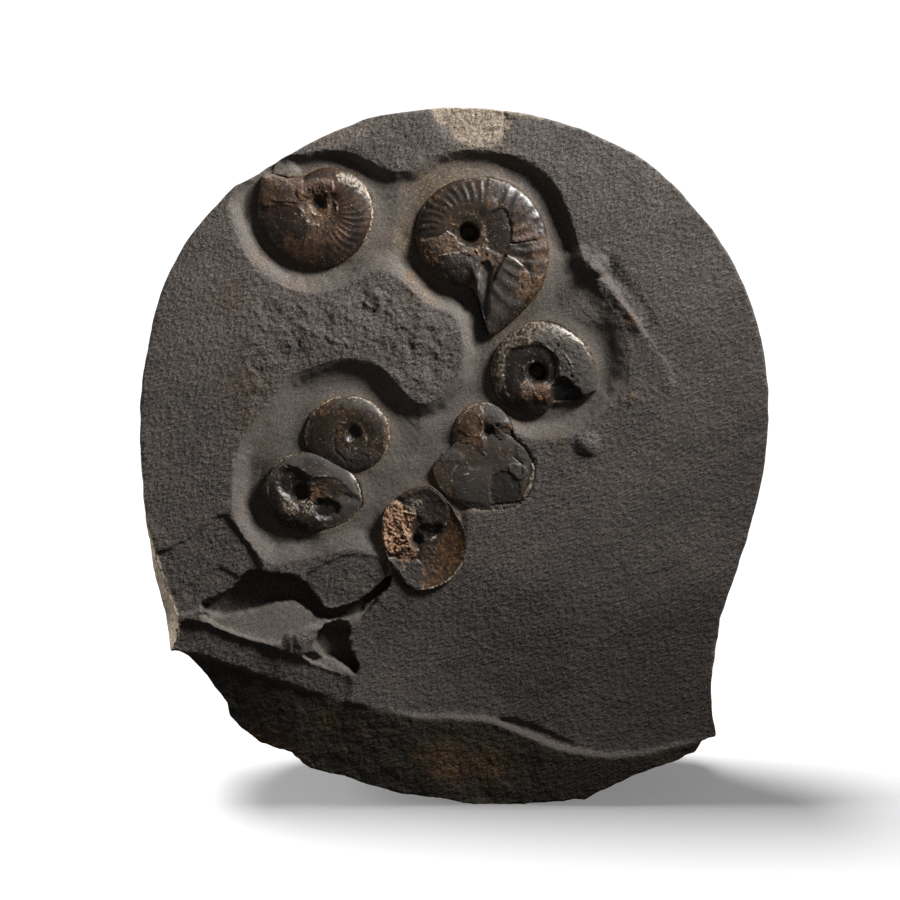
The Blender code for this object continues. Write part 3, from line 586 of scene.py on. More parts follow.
# Stretches of rim where the broken shell wall shows as a pale line, partly a painted highlight where the
# rim faces the light: first and last bearing, strength
RIM_LINES = {
    "ammonite_top_left": [(-40, 40, 0.8), (160, 200, 0.35)],
    "ammonite_top_large": [(-100, -20, 0.3), (170, 230, 0.3)],
    "ammonite_middle_right": [(130, 250, 0.6), (300, 350, 0.8)],
    "ammonite_pair_upper": [(170, 400, 0.6)],
    # Partly painted highlight: the upper right stretch of the lower shell
    "ammonite_pair_lower": [(180, 270, 0.5), (315, 372, 0.9)],
    "ammonite_smooth_cast": [(0, 60, 0.5)],
    "ammonite_small_broken": [(150, 290, 0.4), (60, 120, 0.5)],
    "ammonite_crystal_filled": [(-40, 100, 0.75), (180, 240, 0.2)],
}
TOP_DIRECTION = (-0.42, 0.32, 1.2)
TOP_SOFTNESS = math.radians(26.0)
FILL_SIZE = 0.34
FILL_AIM = (-0.1, 0.0, 0.06)
TABLE_HALF = 8.0
# Keeps a blend of table values from coming to a point at each entry, in steps to the fourth power
BLEND_ROUNDING = 2000.0
# Cells after which the noise and the broken faces repeat
NOISE_CELLS = 256
FACET_CELLS = 128


def smooth(t):
    """An S-curve from 0 to 1 as t goes from 0 to 1."""
    t = np.clip(t, 0.0, 1.0)
    return t * t * (3.0 - 2.0 * t)


def along(table, x):
    """The value that a table of (x, value) pairs gives at x."""
    xs, values = zip(*table)
    return np.interp(x, xs, values)


def rounded(points, times):
    """A closed outline with its corners cut off the given number of times."""
    corners = np.asarray(points, float)
    for _ in range(times):
        ahead = np.roll(corners, -1, axis=0)
        cuts = np.stack([0.75 * corners + 0.25 * ahead, 0.25 * corners + 0.75 * ahead], axis=1)
        corners = cuts.reshape(-1, 2)
    return corners


def distance_to_line(points, x, y, closed=False):
    """Distance, in steps of the sheet, from each (x, y) to a line through the points."""
    starts = np.asarray(points, float)
    ends = np.roll(starts, -1, axis=0)
    count = len(starts) if closed else len(starts) - 1
    nearest = np.full(np.shape(x), np.inf)
    for (ax, ay), (bx, by) in zip(starts[:count], ends[:count]):
        dx, dy = bx - ax, by - ay
        t = np.clip(((x - ax) * dx + (y - ay) * dy) / (dx * dx + dy * dy), 0.0, 1.0)
        nearest = np.minimum(nearest, (x - ax - t * dx) ** 2 + (y - ay - t * dy) ** 2)
    return np.sqrt(nearest)


def depth_inside(polygon, x, y):
    """Distance from each (x, y) to the polygon's edge, positive inside it and negative outside."""
    starts = np.asarray(polygon, float)
    ends = np.roll(starts, -1, axis=0)
    inside = np.zeros(np.shape(x), bool)
    for (ax, ay), (bx, by) in zip(starts, ends):
        if ay != by:
            crosses = (ay > y) != (by > y)
            inside ^= crosses & (x < (bx - ax) * (y - ay) / (by - ay) + ax)
    distance = distance_to_line(polygon, x, y, closed=True)
    return np.where(inside, distance, -distance)


def blended(table, x, y):
    """The value between the (x, y, value) points of a table, nearer points counting for more."""
    total = np.zeros(np.shape(x))
    weights = np.zeros(np.shape(x))
    for px, py, value in table:
        weight = 1.0 / (((x - px) ** 2 + (y - py) ** 2) ** 2 + BLEND_ROUNDING)
        total += weight * value
        weights += weight
    return total / weights


def shell_outline(shell, bearings):
    """Radius of a shell's outline at each bearing, in steps of the sheet."""
    angles, radii = zip(*shell["radii"])
    return np.interp(bearings, np.radians(angles), radii, period=2.0 * math.pi)


def from_shell(shell, x, y):
    """Distance, in steps of the sheet, from a shell's outline out to each point; negative inside it."""
    dx, dy = x - shell["centre"][0], y - shell["centre"][1]
    return np.hypot(dx, dy) - shell_outline(shell, np.arctan2(dy, dx))


def from_shells(x, y):
    """The same distance from the nearest of the shells."""
    return np.min([from_shell(shell, x, y) for shell in SHELLS.values()], axis=0)


def between(bearing, first, last, fade):
    """1 between two bearings given in degrees and 0 outside them, changing over so many degrees."""
    turn = (np.degrees(bearing) - first) % 360.0
    return smooth(turn / fade) * smooth((last - first - turn) / fade)


def inside_share(outline, x, y, softness, cuts=1):
    """1 inside an outline with cut corners and 0 outside it, changing over its softness."""
    return smooth(0.5 + depth_inside(rounded(outline, cuts), x, y) / softness)


def ripple(x, y, cell, seed):
    """Smooth noise from -1 to 1 with bumps about one cell wide."""
    table = np.random.default_rng(seed).uniform(-1.0, 1.0, (NOISE_CELLS, NOISE_CELLS))
    column, row = np.floor(x / cell).astype(int), np.floor(y / cell).astype(int)
    fx, fy = smooth(x / cell - column), smooth(y / cell - row)
    left, right = column % NOISE_CELLS, (column + 1) % NOISE_CELLS
    above, below = row % NOISE_CELLS, (row + 1) % NOISE_CELLS
    near = table[left, above] * (1 - fx) + table[right, above] * fx
    far = table[left, below] * (1 - fx) + table[right, below] * fx
    return near * (1 - fy) + far * fy


def layered(x, y, cell, seed, layers=3):
    """Ripple noise with finer and weaker layers on top, from about -1 to 1."""
    total = sum(ripple(x, y, cell / 2**k, seed + k) / 2**k for k in range(layers))
    return total / (2.0 - 2.0 ** (1 - layers))


def facets(x, y, cell, seed):
    """Height from about -1 to 1 of a surface broken into tilted flat faces one cell wide."""
    random = np.random.default_rng(seed).uniform(-1.0, 1.0, (5, FACET_CELLS, FACET_CELLS))
    column, row = np.floor(x / cell).astype(int), np.floor(y / cell).astype(int)
    nearest = np.full(np.shape(x), np.inf)
    height = np.zeros(np.shape(x))
    for i in (-1, 0, 1):
        for j in (-1, 0, 1):
            a, b = (column + i) % FACET_CELLS, (row + j) % FACET_CELLS
            px = (column + i + 0.5 + 0.45 * random[0, a, b]) * cell
            py = (row + j + 0.5 + 0.45 * random[1, a, b]) * cell
            gap = (x - px) ** 2 + (y - py) ** 2
            plane = 0.5 * random[2, a, b] + (random[3, a, b] * (x - px) + random[4, a, b] * (y - py)) / cell
            closer = gap < nearest
            nearest = np.where(closer, gap, nearest)
            height = np.where(closer, plane, height)
    return height


def form(draw, name, x, y):
    """One of the small forms, drawn by one of the three functions above with its own size and seed."""
    amount, width, seed = FORMS[name]
    return amount * draw(x, y, width, seed)


def area_share(areas, x, y):
    """The strongest share, 0 to 1, of the listed (outline, strength, softness) areas at each point."""
    share = np.zeros(np.shape(x))
    for outline, strength, softness in areas:
        share = np.maximum(share, strength * inside_share(outline, x, y, softness))
    return share


def spots(table, x, y):
    """The share, 0 to 1, that a table of (x, y, radius, strength) spots leaves at each point."""
    share = np.zeros(np.shape(x))
    for px, py, radius, strength in table:
        share = np.maximum(share, strength * smooth(1.35 - np.hypot(x - px, y - py) / radius))
    return share


def lens_share(x, y):
    """Where a smooth clay lens shows, from 0 to 1."""
    return np.max([inside_share(lens, x, y, 4.0, cuts=2) for lens in SMOOTH_LENSES], axis=0)


def rough_share(x, y):
    """Where the stone is rough and broken, from 0 to 1."""
    foot = smooth((y - along(FOOT_LINE, x) + 3.0) / 10.0)
    return np.maximum(area_share(ROUGH_AREAS, x, y), FOOT_ROUGHNESS * foot)


def hollow(x, y, inside):
    """Depth of the abraded hollows, with the deeper channel cut round the shells."""
    down = np.clip(inside / blended(RIM_WIDTHS, x, y), 0.0, 1.0)
    depth = blended(FLOOR_DEPTHS, x, y) * (0.5 * np.sin(down * math.pi / 2.0) + 0.5 * smooth(down))
    outward = np.maximum(from_shells(x, y), 0.0)
    across = np.clip(inside / np.maximum(inside + outward, 1.0), 0.0, 1.0)
    channel = 4.0 * across * (1.0 - across) * smooth(1.3 - outward / CHANNEL_WIDTH)
    brushed = BRUSH_DEPTH * ripple(inside - outward, (x + y) * 0.1, BRUSH_WIDTH, 44)
    return depth + (CHANNEL_DEPTH * channel + brushed) * smooth(depth / 3.0)


def relief(x, y, inside):
    """Height of the stone's front above the face plane, in millimetres."""
    height = -hollow(x, y, inside)
    height += RIDGE_HEIGHT * smooth(1.0 - distance_to_line(RIDGE, x, y) / RIDGE_HALF_WIDTH)
    for px, py, radius, rise in BEADS:
        height += rise * np.sqrt(np.clip(1.0 - (np.hypot(x - px, y - py) / radius) ** 2, 0.0, 1.0))
    for px, py, radius, rise in SWELLS:
        height += rise * smooth(1.0 - np.hypot(x - px, y - py) / radius)
    for outline, upper, lower, softness in BREAKS:
        ys = [point[1] for point in outline]
        level = upper + (lower - upper) * np.clip((y - min(ys)) / (max(ys) - min(ys)), 0.0, 1.0)
        height += (level - height) * inside_share(outline, x, y, softness)

    groove = distance_to_line(GROOVE, x, y)
    right_of = smooth(0.5 + (x - GROOVE[0][0] - GROOVE_SLOPE * (y - GROOVE[0][1])) / 6.0)
    height -= GROOVE_DEPTH * right_of * smooth(1.0 - groove / GROOVE_HALF_WIDTH)
    left_of_step = along(STEP_EDGE, y) - x
    at_step = smooth((y - STEP_BEGINS) / STEP_FADES) * smooth((STEP_ENDS - y) / STEP_FADES)
    height += STEP_RISE * at_step * smooth(0.5 + left_of_step / 3.0) * smooth(1.0 - left_of_step / STEP_REACH)

    below = y - along(FOOT_LINE, x)
    rolling = smooth((below + ROLL_START) / (ROLL_START + FOOT_SOFTNESS))
    rolling *= smooth((x - ROLL_LEFT) / ROLL_FADES)
    set_back = along(FOOT_HOLLOW, x)
    foot = set_back + (along(FOOT_DRAWN_BACK, x) - set_back) * np.clip(below / FOOT_REACH, 0.0, 1.0)
    height -= ROLL_DEPTH * rolling
    height += (foot - height) * smooth(0.5 + below / FOOT_SOFTNESS)

    wall_x = along([(wall_y, wall_x) for wall_x, wall_y in LEFT_WALL], y)
    beyond = (x < wall_x) & (y > LEFT_WALL[0][1]) & (y < LEFT_WALL[-1][1] + 4.0)
    drop = np.minimum(LEFT_WALL_STEEPNESS * distance_to_line(LEFT_WALL, x, y), LEFT_WALL_DEPTH)
    return np.where(beyond, -drop, height)


def carved_relief(x, y):
    """The front relief with broken rims, rough stone, ripples of the split face and seats for the shells."""
    wx = x + form(layered, "rim_waves_x", x, y) + form(ripple, "rim_nicks_x", x, y)
    wy = y + form(layered, "rim_waves_y", x, y) + form(ripple, "rim_nicks_y", x, y)
    inside = depth_inside(rounded(PREPARED, 2), wx, wy)
    height = relief(wx, wy, inside)
    rough = rough_share(x, y)
    smoothed = np.maximum(smooth(0.5 + inside / 5.0), lens_share(wx, wy))
    broken = rough * (1.0 - smoothed)
    lumps = form(layered, "lumps", x, y) + form(layered, "small_lumps", x + 0.4 * y, y)
    splinters = form(facets, "splinters", x + form(ripple, "splinter_bends", x, y), y - 0.3 * x)
    splinters += form(facets, "small_splinters", x, y)
    height += broken * (
        lumps + splinters + form(ripple, "crumbs", x, y) + form(ripple, "small_crumbs", x, y))
    face = (1.0 - smoothed) * (1.0 - rough)
    along_grain = (x * math.cos(GRAIN_RISE) - y * math.sin(GRAIN_RISE)) / GRAIN_STRETCH
    across_grain = x * math.sin(GRAIN_RISE) + y * math.cos(GRAIN_RISE)
    near_edge = smooth(1.0 - depth_inside(OUTLINE, x, y) / EDGE_REACH)
    grain_height = GRAIN_HEIGHT + GRAIN_AT_EDGE * near_edge
    height += face * grain_height * layered(along_grain, across_grain, 7.0, 41)
    height += face * GRAIN_SWELLS * layered(along_grain, across_grain, 18.0, 45, 2)
    face_swells = face * FACE_SWELLS * layered(x, y, 60.0, 42)
    height += face_swells + SMOOTH_SWELLS * smoothed * layered(x, y, 18.0, 43, 2)
    for shell in SHELLS.values():
        seat = np.minimum(height, shell["base"] + SEAT_CLEARANCE)
        height = np.where(from_shell(shell, x, y) < -SEAT_MARGIN, seat, height)
    return height


def outline_radius(bearing):
    """Radius of the stone's outline round SHEET_CENTRE, in steps of the sheet."""
    points = np.asarray(OUTLINE, float) - SHEET_CENTRE
    bearings = np.arctan2(points[:, 1], points[:, 0])
    order = np.argsort(bearings)
    radii = np.hypot(points[:, 0], points[:, 1])
    return np.interp(bearing, bearings[order], radii[order], period=2.0 * math.pi)


def broken_edge(bearing):
    """The outline's radius with the small chips of its broken edge, larger along the foot."""
    edge = outline_radius(bearing)
    x, y = edge * np.cos(bearing), edge * np.sin(bearing)
    chips = EDGE_CHIPS + FOOT_CHIPS * smooth((y - FOOT_CHIPS_BEGIN) / FOOT_CHIPS_GROW)
    return edge * (1.0 + chips * layered(x, y, 15.0, 51) - 0.4 * chips)


def flattened(x, y):
    """Sheet positions with the photograph's perspective and slant taken out."""
    across, down = np.asarray(x) - SIGHT_CENTRE[0], np.asarray(y) - SIGHT_CENTRE[1]
    spread = 1.0 + SPREAD_PER_STEP * down
    return SIGHT_CENTRE[0] + across * spread, SIGHT_CENTRE[1] + down * spread * SLANT


def leaning(x, y, height):
    """Positions in metres of sheet positions and heights, before the part is centred on its origin."""
    lean = math.radians(LEAN_DEG)
    flat_x, flat_y = flattened(x, y)
    u = (flat_x - FOOT_POINT[0]) * MM_PER_STEP
    v = (FOOT_POINT[1] - flat_y) * MM_PER_STEP
    back = v * math.sin(lean) - height * math.cos(lean)
    up = v * math.cos(lean) + height * math.sin(lean)
    return np.stack([u, back, up], axis=-1) / 1000.0


def ring_points(shell, bearings, radius, height):
    """Leaning positions of a ring round a shell's centre."""
    x = shell["centre"][0] + radius * np.cos(bearings)
    y = shell["centre"][1] + radius * np.sin(bearings)
    return leaning(x, y, np.full(np.shape(x), height))


def sheet_shift():
    """How far the part's source moved the sheet: one shell's corners in the frame against its own."""
    shell = SHELLS[PLACING_SHELL]
    bearings = np.linspace(0.0, 2.0 * math.pi, SOLID_SPOKES, endpoint=False)
    radius = shell_outline(shell, bearings)
    rise = shell["crest"] - shell["rim"]
    rows = [ring_points(shell, bearings, radius, shell["base"])]
    for ring in SOLID_RINGS:
        height = shell["rim"] + rise * (1.0 - ring**SOLID_SQUARENESS) ** SOLID_FULLNESS
        rows.append(ring_points(shell, bearings, radius * ring, height))
    points = np.concatenate(rows)
    low, high = (np.array(corner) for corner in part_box(PLACING_SHELL))
    return ((low + high) - (points.min(axis=0) + points.max(axis=0))) / 2.0


SHEET_SHIFT = sheet_shift()


def to_frame(x, y, height):
    """Positions in the row frame, in metres, of sheet positions and heights."""
    return leaning(x, y, height) + SHEET_SHIFT


def to_sheet(points):
    """Sheet x and y, and height above the sheet, of positions in the row frame."""
    lean = math.radians(LEAN_DEG)
    u, back, up = (np.asarray(points) - SHEET_SHIFT).T * 1000.0
    v = back * math.sin(lean) + up * math.cos(lean)
    height = up * math.sin(lean) - back * math.cos(lean)
    across = FOOT_POINT[0] + u / MM_PER_STEP - SIGHT_CENTRE[0]
    down = flat_down = FOOT_POINT[1] - v / MM_PER_STEP - SIGHT_CENTRE[1]
    for _ in range(4):
        down = flat_down / ((1.0 + SPREAD_PER_STEP * down) * SLANT)
    return SIGHT_CENTRE[0] + across / (1.0 + SPREAD_PER_STEP * down), SIGHT_CENTRE[1] + down, height


def disc_grid(count):
    """Radius and bearing of a square grid bent to fill a disc, so that its cells stay near square."""
    side = np.linspace(-1.0, 1.0, count)
    a, b = np.meshgrid(side, side, indexing="ij")
    p = a * np.sqrt(1.0 - b * b / 2.0)
    q = b * np.sqrt(1.0 - a * a / 2.0)
    return np.hypot(p, q), np.arctan2(q, p)


def mesh_piece(name, points, quads):
    """A mesh object of quads whose faces point outwards."""
    first, second, third, fourth = (points[quads[:, k]] - points.mean(axis=0) for k in range(4))
    if np.einsum("ij,ij->i", first, np.cross(second, third) + np.cross(third, fourth)).sum() < 0:
        quads = quads[:, ::-1]
    mesh = bpy.data.meshes.new(name)
    mesh.vertices.add(len(points))
    mesh.vertices.foreach_set("co", np.asarray(points, np.float32).ravel())
    mesh.loops.add(quads.size)
    mesh.loops.foreach_set("vertex_index", np.ascontiguousarray(quads, np.int32).ravel())
    mesh.polygons.add(len(quads))
    mesh.polygons.foreach_set("loop_start", np.arange(0, quads.size, 4, dtype=np.int32))
    mesh.update(calc_edges=True)
    mesh.validate()
    piece = bpy.data.objects.new(name, mesh)
    bpy.context.scene.collection.objects.link(piece)
    return piece


def keep_modifier(piece, kind, **settings):
    """Add a modifier with its settings and keep its result as the piece's mesh."""
    modifier = piece.modifiers.new(kind.title(), kind)
    for setting, value in settings.items():
        setattr(modifier, setting, value)
    bpy.context.view_layer.update()
    graph = bpy.context.evaluated_depsgraph_get()
    result = bpy.data.meshes.new_from_object(piece.evaluated_get(graph))
    piece.modifiers.clear()
    piece.data = result


def positions(piece):
    """The vertices of a piece as rows of x, y and z."""
    flat = np.empty(len(piece.data.vertices) * 3, np.float32)
    piece.data.vertices.foreach_get("co", flat)
    return flat.reshape(-1, 3).astype(float)


def finish_mesh(piece):
    """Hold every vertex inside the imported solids' box and shade the piece smooth."""
    held = np.clip(positions(piece), *CAD_BOX)
    piece.data.vertices.foreach_set("co", held.astype(np.float32).ravel())
    piece.data.polygons.foreach_set("use_smooth", np.ones(len(piece.data.polygons), bool))
    piece.data.update()


def store(piece, name, values):
    """Keep one number per vertex under a name that the materials read."""
    attribute = piece.data.attributes.new(name, "FLOAT", "POINT")
    attribute.data.foreach_set("value", np.asarray(values, np.float32))


def linear(hex_colour):
    """A colour given in sRGB hex as the linear values that Blender's sockets hold."""
    channels = [int(hex_colour[i : i + 2], 16) / 255.0 for i in (1, 3, 5)]
    return tuple(c / 12.92 if c <= 0.04045 else ((c + 0.055) / 1.055) ** 2.4 for c in channels) + (1.0,)


def paint(name, description, hex_colour):
    """A colour that the panel shows."""
    return FloatVectorProperty(
        name=name, description=description, default=linear(hex_colour),
        subtype="COLOR", size=4, min=0.0, max=1.0)


def add_node(tree, kind, inputs=None, **settings):
    """Add one node with its settings. Each input is a value or another node's output."""
    made = tree.nodes.new(kind)
    for setting, value in settings.items():
        setattr(made, setting, value)
    for socket, value in (inputs or {}).items():
        if isinstance(value, bpy.types.NodeSocket):
            tree.links.new(value, made.inputs[socket])
        else:
            made.inputs[socket].default_value = value
    return made


def new_material(name):
    """An empty node material and its shader, already linked to the output."""
    material = bpy.data.materials.new(name)
    material.use_nodes = True
    tree = material.node_tree
    tree.nodes.clear()
    shader = add_node(tree, "ShaderNodeBsdfPrincipled")
    add_node(tree, "ShaderNodeOutputMaterial", {"Surface": shader.outputs[0]})
    return material, tree, shader


def drawn_patterns(tree, places):
    """Noise patterns by name, each given as (where it is drawn, bump width in mm, detail, roughness)."""
    patterns = {}
    for name, (where, width_mm, detail, roughness) in places.items():
        settings = {"Vector": where, "Scale": 1000.0 / width_mm, "Detail": detail, "Roughness": roughness}
        patterns[name] = add_node(tree, "ShaderNodeTexNoise", settings).outputs[0]
    return patterns


def coated(tree, colour, coats):
    """The colour under coats laid over it: (pattern, where it begins, where it is full, most cover, coat).

    Map Range's sockets are the value, the two ends of its range and the two ends that they become.
    """
    for pattern, begins, full, most, coat in coats:
        covering = {0: pattern, 1: begins, 2: full, 3: 0.0, 4: most}
        cover = add_node(tree, "ShaderNodeMapRange", covering).outputs[0]
        colour = add_node(tree, "ShaderNodeMix", {0: cover, 6: colour, 7: coat}, data_type="RGBA").outputs[2]
    return colour


def raised(tree, parts):
    """Height of the fine relief: parts of (pattern, mark, weight where the mark is 0, and where it is 1)."""
    height = 0.0
    for pattern, mark, without, full in parts:
        weighing = {0: mark, 1: 0.0, 2: 1.0, 3: without, 4: full}
        weight = add_node(tree, "ShaderNodeMapRange", weighing).outputs[0]
        terms = {0: pattern, 1: weight, 2: height}
        height = add_node(tree, "ShaderNodeMath", terms, operation="MULTIPLY_ADD").outputs[0]
    return height


def speckled(tree, colour, grit, darkest, lightest):
    """The colour made darker and lighter from grain to grain."""
    spread = {0: grit, 1: 0.25, 2: 0.75, 3: darkest, 4: lightest}
    tone = add_node(tree, "ShaderNodeMapRange", spread).outputs[0]
    return add_node(tree, "ShaderNodeVectorMath", {0: colour, "Scale": tone}, operation="SCALE").outputs[0]


def dress(tree, shader, colour, roughness, height, depth):
    """Give a shader its colour, its roughness and a fine relief whose full height is depth in metres."""
    bump = add_node(tree, "ShaderNodeBump", {"Strength": 1.0, "Distance": depth, "Height": height})
    tree.links.new(colour, shader.inputs["Base Color"])
    tree.links.new(roughness, shader.inputs["Roughness"])
    tree.links.new(bump.outputs[0], shader.inputs["Normal"])


def mudstone_material(colours):
    """Split, abraded and weathered calcareous mudstone: matt, fine-grained and almost free of gloss.

    The split face has a wrinkled grain that runs up to the right, the abraded hollows are smoother and
    dusty, the broken edges are pale and fresh, and the foot keeps a dark brown rind.
    """
    material, tree, shader = new_material("split_and_abraded_mudstone")
    place = add_node(tree, "ShaderNodeTexCoord").outputs["Object"]
    abraded, rough, pale, rind, ochre, lens, sand = (
        add_node(tree, "ShaderNodeAttribute", attribute_name=name).outputs["Fac"]
        for name in ("abraded", "rough", "pale", "rind", "ochre", "lens", "sand")
    )
    turned = {0: place, "Rotation": (0.0, -GRAIN_RISE, 0.0), "Scale": (GRAIN_STRETCH, 1.0, 1.0)}
    grain = add_node(tree, "ShaderNodeMapping", turned, vector_type="TEXTURE").outputs[0]
    # The silt of mudstone is under 0.06 mm, so the grit is drawn about ten times coarser to show at all
    drawn = drawn_patterns(tree, {
        "bedding": (place, 38.0, 6.0, 0.6),
        "wrinkle": (grain, 1.2, 2.0, 0.5),
        "coarse": (grain, 4.0, 2.0, 0.5),
        "chips": (place, 2.4, 4.0, 0.6),
        "specks": (place, 1.25, 2.0, 0.5),
        "grit": (place, 0.7, 3.0, 0.7),
    })
    colour = coated(tree, colours.stone_dark, [
        (drawn["bedding"], 0.35, 0.65, 1.0, colours.stone_light),
        (drawn["wrinkle"], 0.50, 0.75, 0.45, colours.stone_fresh),
        (abraded, 0.0, 1.0, 0.60, colours.abraded_dust),
        (lens, 0.0, 1.0, 0.35, colours.stone_fresh),
        (rind, 0.0, 1.0, 0.92, colours.rind),
        (drawn["chips"], 0.30, 0.60, ochre, colours.ochre),
        (sand, 0.0, 1.0, 0.40, colours.sand),
        (drawn["specks"], 0.60, 0.68, sand, colours.sand_grain),
        (drawn["chips"], 0.34, 0.46, pale, colours.pale_break),
    ])
    shaded = speckled(tree, colour, drawn["grit"], 0.30, 1.70)
    matt = {0: drawn["chips"], 1: 0.2, 2: 0.8, 3: 0.62, 4: 0.85}
    roughness = add_node(tree, "ShaderNodeMapRange", matt).outputs[0]
    height = raised(tree, [
        (drawn["wrinkle"], abraded, 1.05, 0.35),
        (drawn["coarse"], abraded, 0.40, 0.22),
        (drawn["chips"], rough, 0.0, 0.60),
        (drawn["grit"], rough, 0.10, 0.06),
    ])
    dress(tree, shader, shaded, roughness, height, STONE_GRAIN_DEPTH)
    shader.inputs["IOR"].default_value = 1.5
    shader.inputs["Specular IOR Level"].default_value = 0.3
    return material


def shell_material(name, colours, under, over, satin):
    """Fossil shell, its aragonite turned to dark calcite and iron minerals under a thin lacquer.

    Whole shell is dark brown and satin, with that roughness. Stripped casts are dull grey like the stone,
    broken layers rusty with golden grains, crystals cream to orange, and broken edges chalky. Near-black
    painted shade lies in the coil's eye, the cracks, the recesses and the sides turned from the light, and
    the pale lines and bands on the lit rims and whorl edges are partly painted highlights.
    """
    material, tree, shader = new_material(name)
    place = add_node(tree, "ShaderNodeTexCoord").outputs["Object"]
    rust, grey, pale, dark, crystal, stone, crumbled, dusted = (
        add_node(tree, "ShaderNodeAttribute", attribute_name=kind).outputs["Fac"]
        for kind in ("rust", "grey", "pale", "dark", "crystal", "stone", "crumbled", "dusted")
    )
    # Grains of pyrite and calcite in the shell are 0.1 to 0.3 mm, drawn about four times coarser to show
    drawn = drawn_patterns(tree, {
        "cloud": (place, 8.0, 6.0, 0.65),
        "blotch": (place, 3.6, 5.0, 0.62),
        "fleck": (place, 1.6, 3.0, 0.6),
        "grit": (place, 0.65, 3.0, 0.7),
        "speck": (place, 0.9, 1.0, 0.5),
        "gold": (place, 0.8, 1.5, 0.6),
    })
    colour = coated(tree, under, [
        (drawn["cloud"], 0.34, 0.66, 1.0, over),
        (drawn["blotch"], 0.54, 0.70, 0.40, colours.shell_tan),
        (drawn["blotch"], 0.36, 0.60, rust, colours.shell_rust),
        (drawn["fleck"], 0.50, 0.66, rust, colours.shell_ochre),
        (grey, 0.0, 1.0, 0.85, colours.shell_cast),
        (stone, 0.0, 1.0, 1.0, colours.stone_light),
        (crystal, 0.0, 1.0, 0.90, colours.crystal_orange),
        (drawn["fleck"], 0.44, 0.60, crystal, colours.crystal_cream),
        # Painted shade: the dark mark lays near black into the coil's eye, the cracks, the recesses and the
        # sides turned from the light
        (dark, 0.0, 1.0, 0.85, colours.shell_shadow),
        # The pale mark is chalky edge and partly painted highlight on lit rims and whorl edges
        (drawn["fleck"], 0.44, 0.58, pale, colours.chalk),
        (drawn["gold"], 0.62, 0.70, dusted, colours.gold_grain),
        (drawn["speck"], 0.68, 0.75, 0.40, colours.chalk),
    ])
    shaded = speckled(tree, colour, drawn["grit"], 0.55, 1.45)
    dull = add_node(tree, "ShaderNodeMath", {0: grey, 1: crumbled}, operation="MAXIMUM").outputs[0]
    worn = add_node(tree, "ShaderNodeMapRange", {0: dull, 1: 0.0, 2: 1.0, 3: satin, 4: 0.72}).outputs[0]
    uneven = {0: drawn["fleck"], 1: 0.25, 2: worn}
    roughness = add_node(tree, "ShaderNodeMath", uneven, operation="MULTIPLY_ADD").outputs[0]
    height = raised(tree, [
        (drawn["blotch"], crumbled, 0.22, 0.75),
        (drawn["fleck"], crumbled, 0.13, 0.55),
        (drawn["grit"], crumbled, 0.03, 0.12),
    ])
    dress(tree, shader, shaded, roughness, height, SHELL_GRAIN_DEPTH)
    shader.inputs["IOR"].default_value = 1.57
    shader.inputs["Specular IOR Level"].default_value = 0.5
    return material


def paper_material(colours):
    """Matt white paper of the table sweep: even, fibrous and without gloss."""
    material, tree, shader = new_material("matt_white_paper")
    place = add_node(tree, "ShaderNodeTexCoord").outputs["Object"]
    # Paper fibres are 0.02 mm wide and don't show, so they are drawn as a cloudiness 2.5 mm wide
    drawn = drawn_patterns(tree, {"fibre": (place, 2.5, 2.0, 0.6)})
    tone = coated(tree, colours.paper, [(drawn["fibre"], 0.3, 0.7, 1.0, colours.paper_fibre)])
    tree.links.new(tone, shader.inputs["Base Color"])
    shader.inputs["Roughness"].default_value = 0.95
    shader.inputs["Specular IOR Level"].default_value = 0.0
    shader.inputs["Emission Color"].default_value = (1.0, 1.0, 1.0, 1.0)
    shader.inputs["Emission Strength"].default_value = 0.22
    return material


class PlateColours(bpy.types.PropertyGroup):
    """Colours of the stone, the shells and the paper."""

    stone_dark: paint("Stone, dark", "Darker tone of the split face", "#4d4743")
    stone_light: paint("Stone, light", "Lighter tone of the split face", "#5c5550")
    stone_fresh: paint("Stone, fresh", "Fresh grey breaks and clay lenses", "#7e776f")
    abraded_dust: paint("Abraded dust", "Dusty floor of the hollows", "#635c55")
    sand: paint("Sand", "Sandy brown halo round the largest shell", "#66533b")
    sand_grain: paint("Sand grain", "Golden grains in the sandy halo", "#a78557")
    rind: paint("Rind", "Brown weathered rind of the foot", "#39332a")
    ochre: paint("Ochre", "Rust and ochre stains of the stone", "#6a4f2f")
    pale_break: paint("Pale break", "Pale chipped edges", "#ab9a85")
    shell_dark: paint("Shell, dark", "Darkest brown of whole shell", "#1d1611")
    shell_brown: paint("Shell, brown", "Lighter brown of whole shell", "#362a20")
    shell_warm: paint("Shell, warm", "Warm brown of the rustier shells", "#432f20")
    shell_tan: paint("Shell, tan", "Worn spots of whole shell", "#5a4735")
    shell_rust: paint("Shell, rust", "Rusty broken layers", "#513825")
    shell_ochre: paint("Shell, ochre", "Orange grains in the rusty layers", "#835d38")
    shell_cast: paint("Shell, cast", "Grey cast where the shell is gone", "#3c3732")
    # Painted shade for the shells' eyes, cracks, recesses and sides turned from the light
    shell_shadow: paint("Shell, painted shade", "Painted shade in the coil's eye, the cracks, the recesses and the sides turned from the light", "#120f0c")
    gold_grain: paint("Gold grain", "Grains of weathered pyrite at the edges", "#b58a4c")
    crystal_orange: paint("Crystal, orange", "Orange calcite in the filled shell", "#875a3d")
    crystal_cream: paint("Crystal, cream", "Cream calcite in the filled shell", "#b99a7d")
    # Also carries the partly painted highlights on lit rims and whorl edges
    chalk: paint("Chalk", "Chalky broken shell edges, partly painted highlights on lit rims and whorl edges", "#c4b7a3")
    paper: paint("Paper", "White of the table sweep", "#e4e4e4")
    paper_fibre: paint("Paper fibre", "Lighter fibres of the paper", "#e8e8e8")


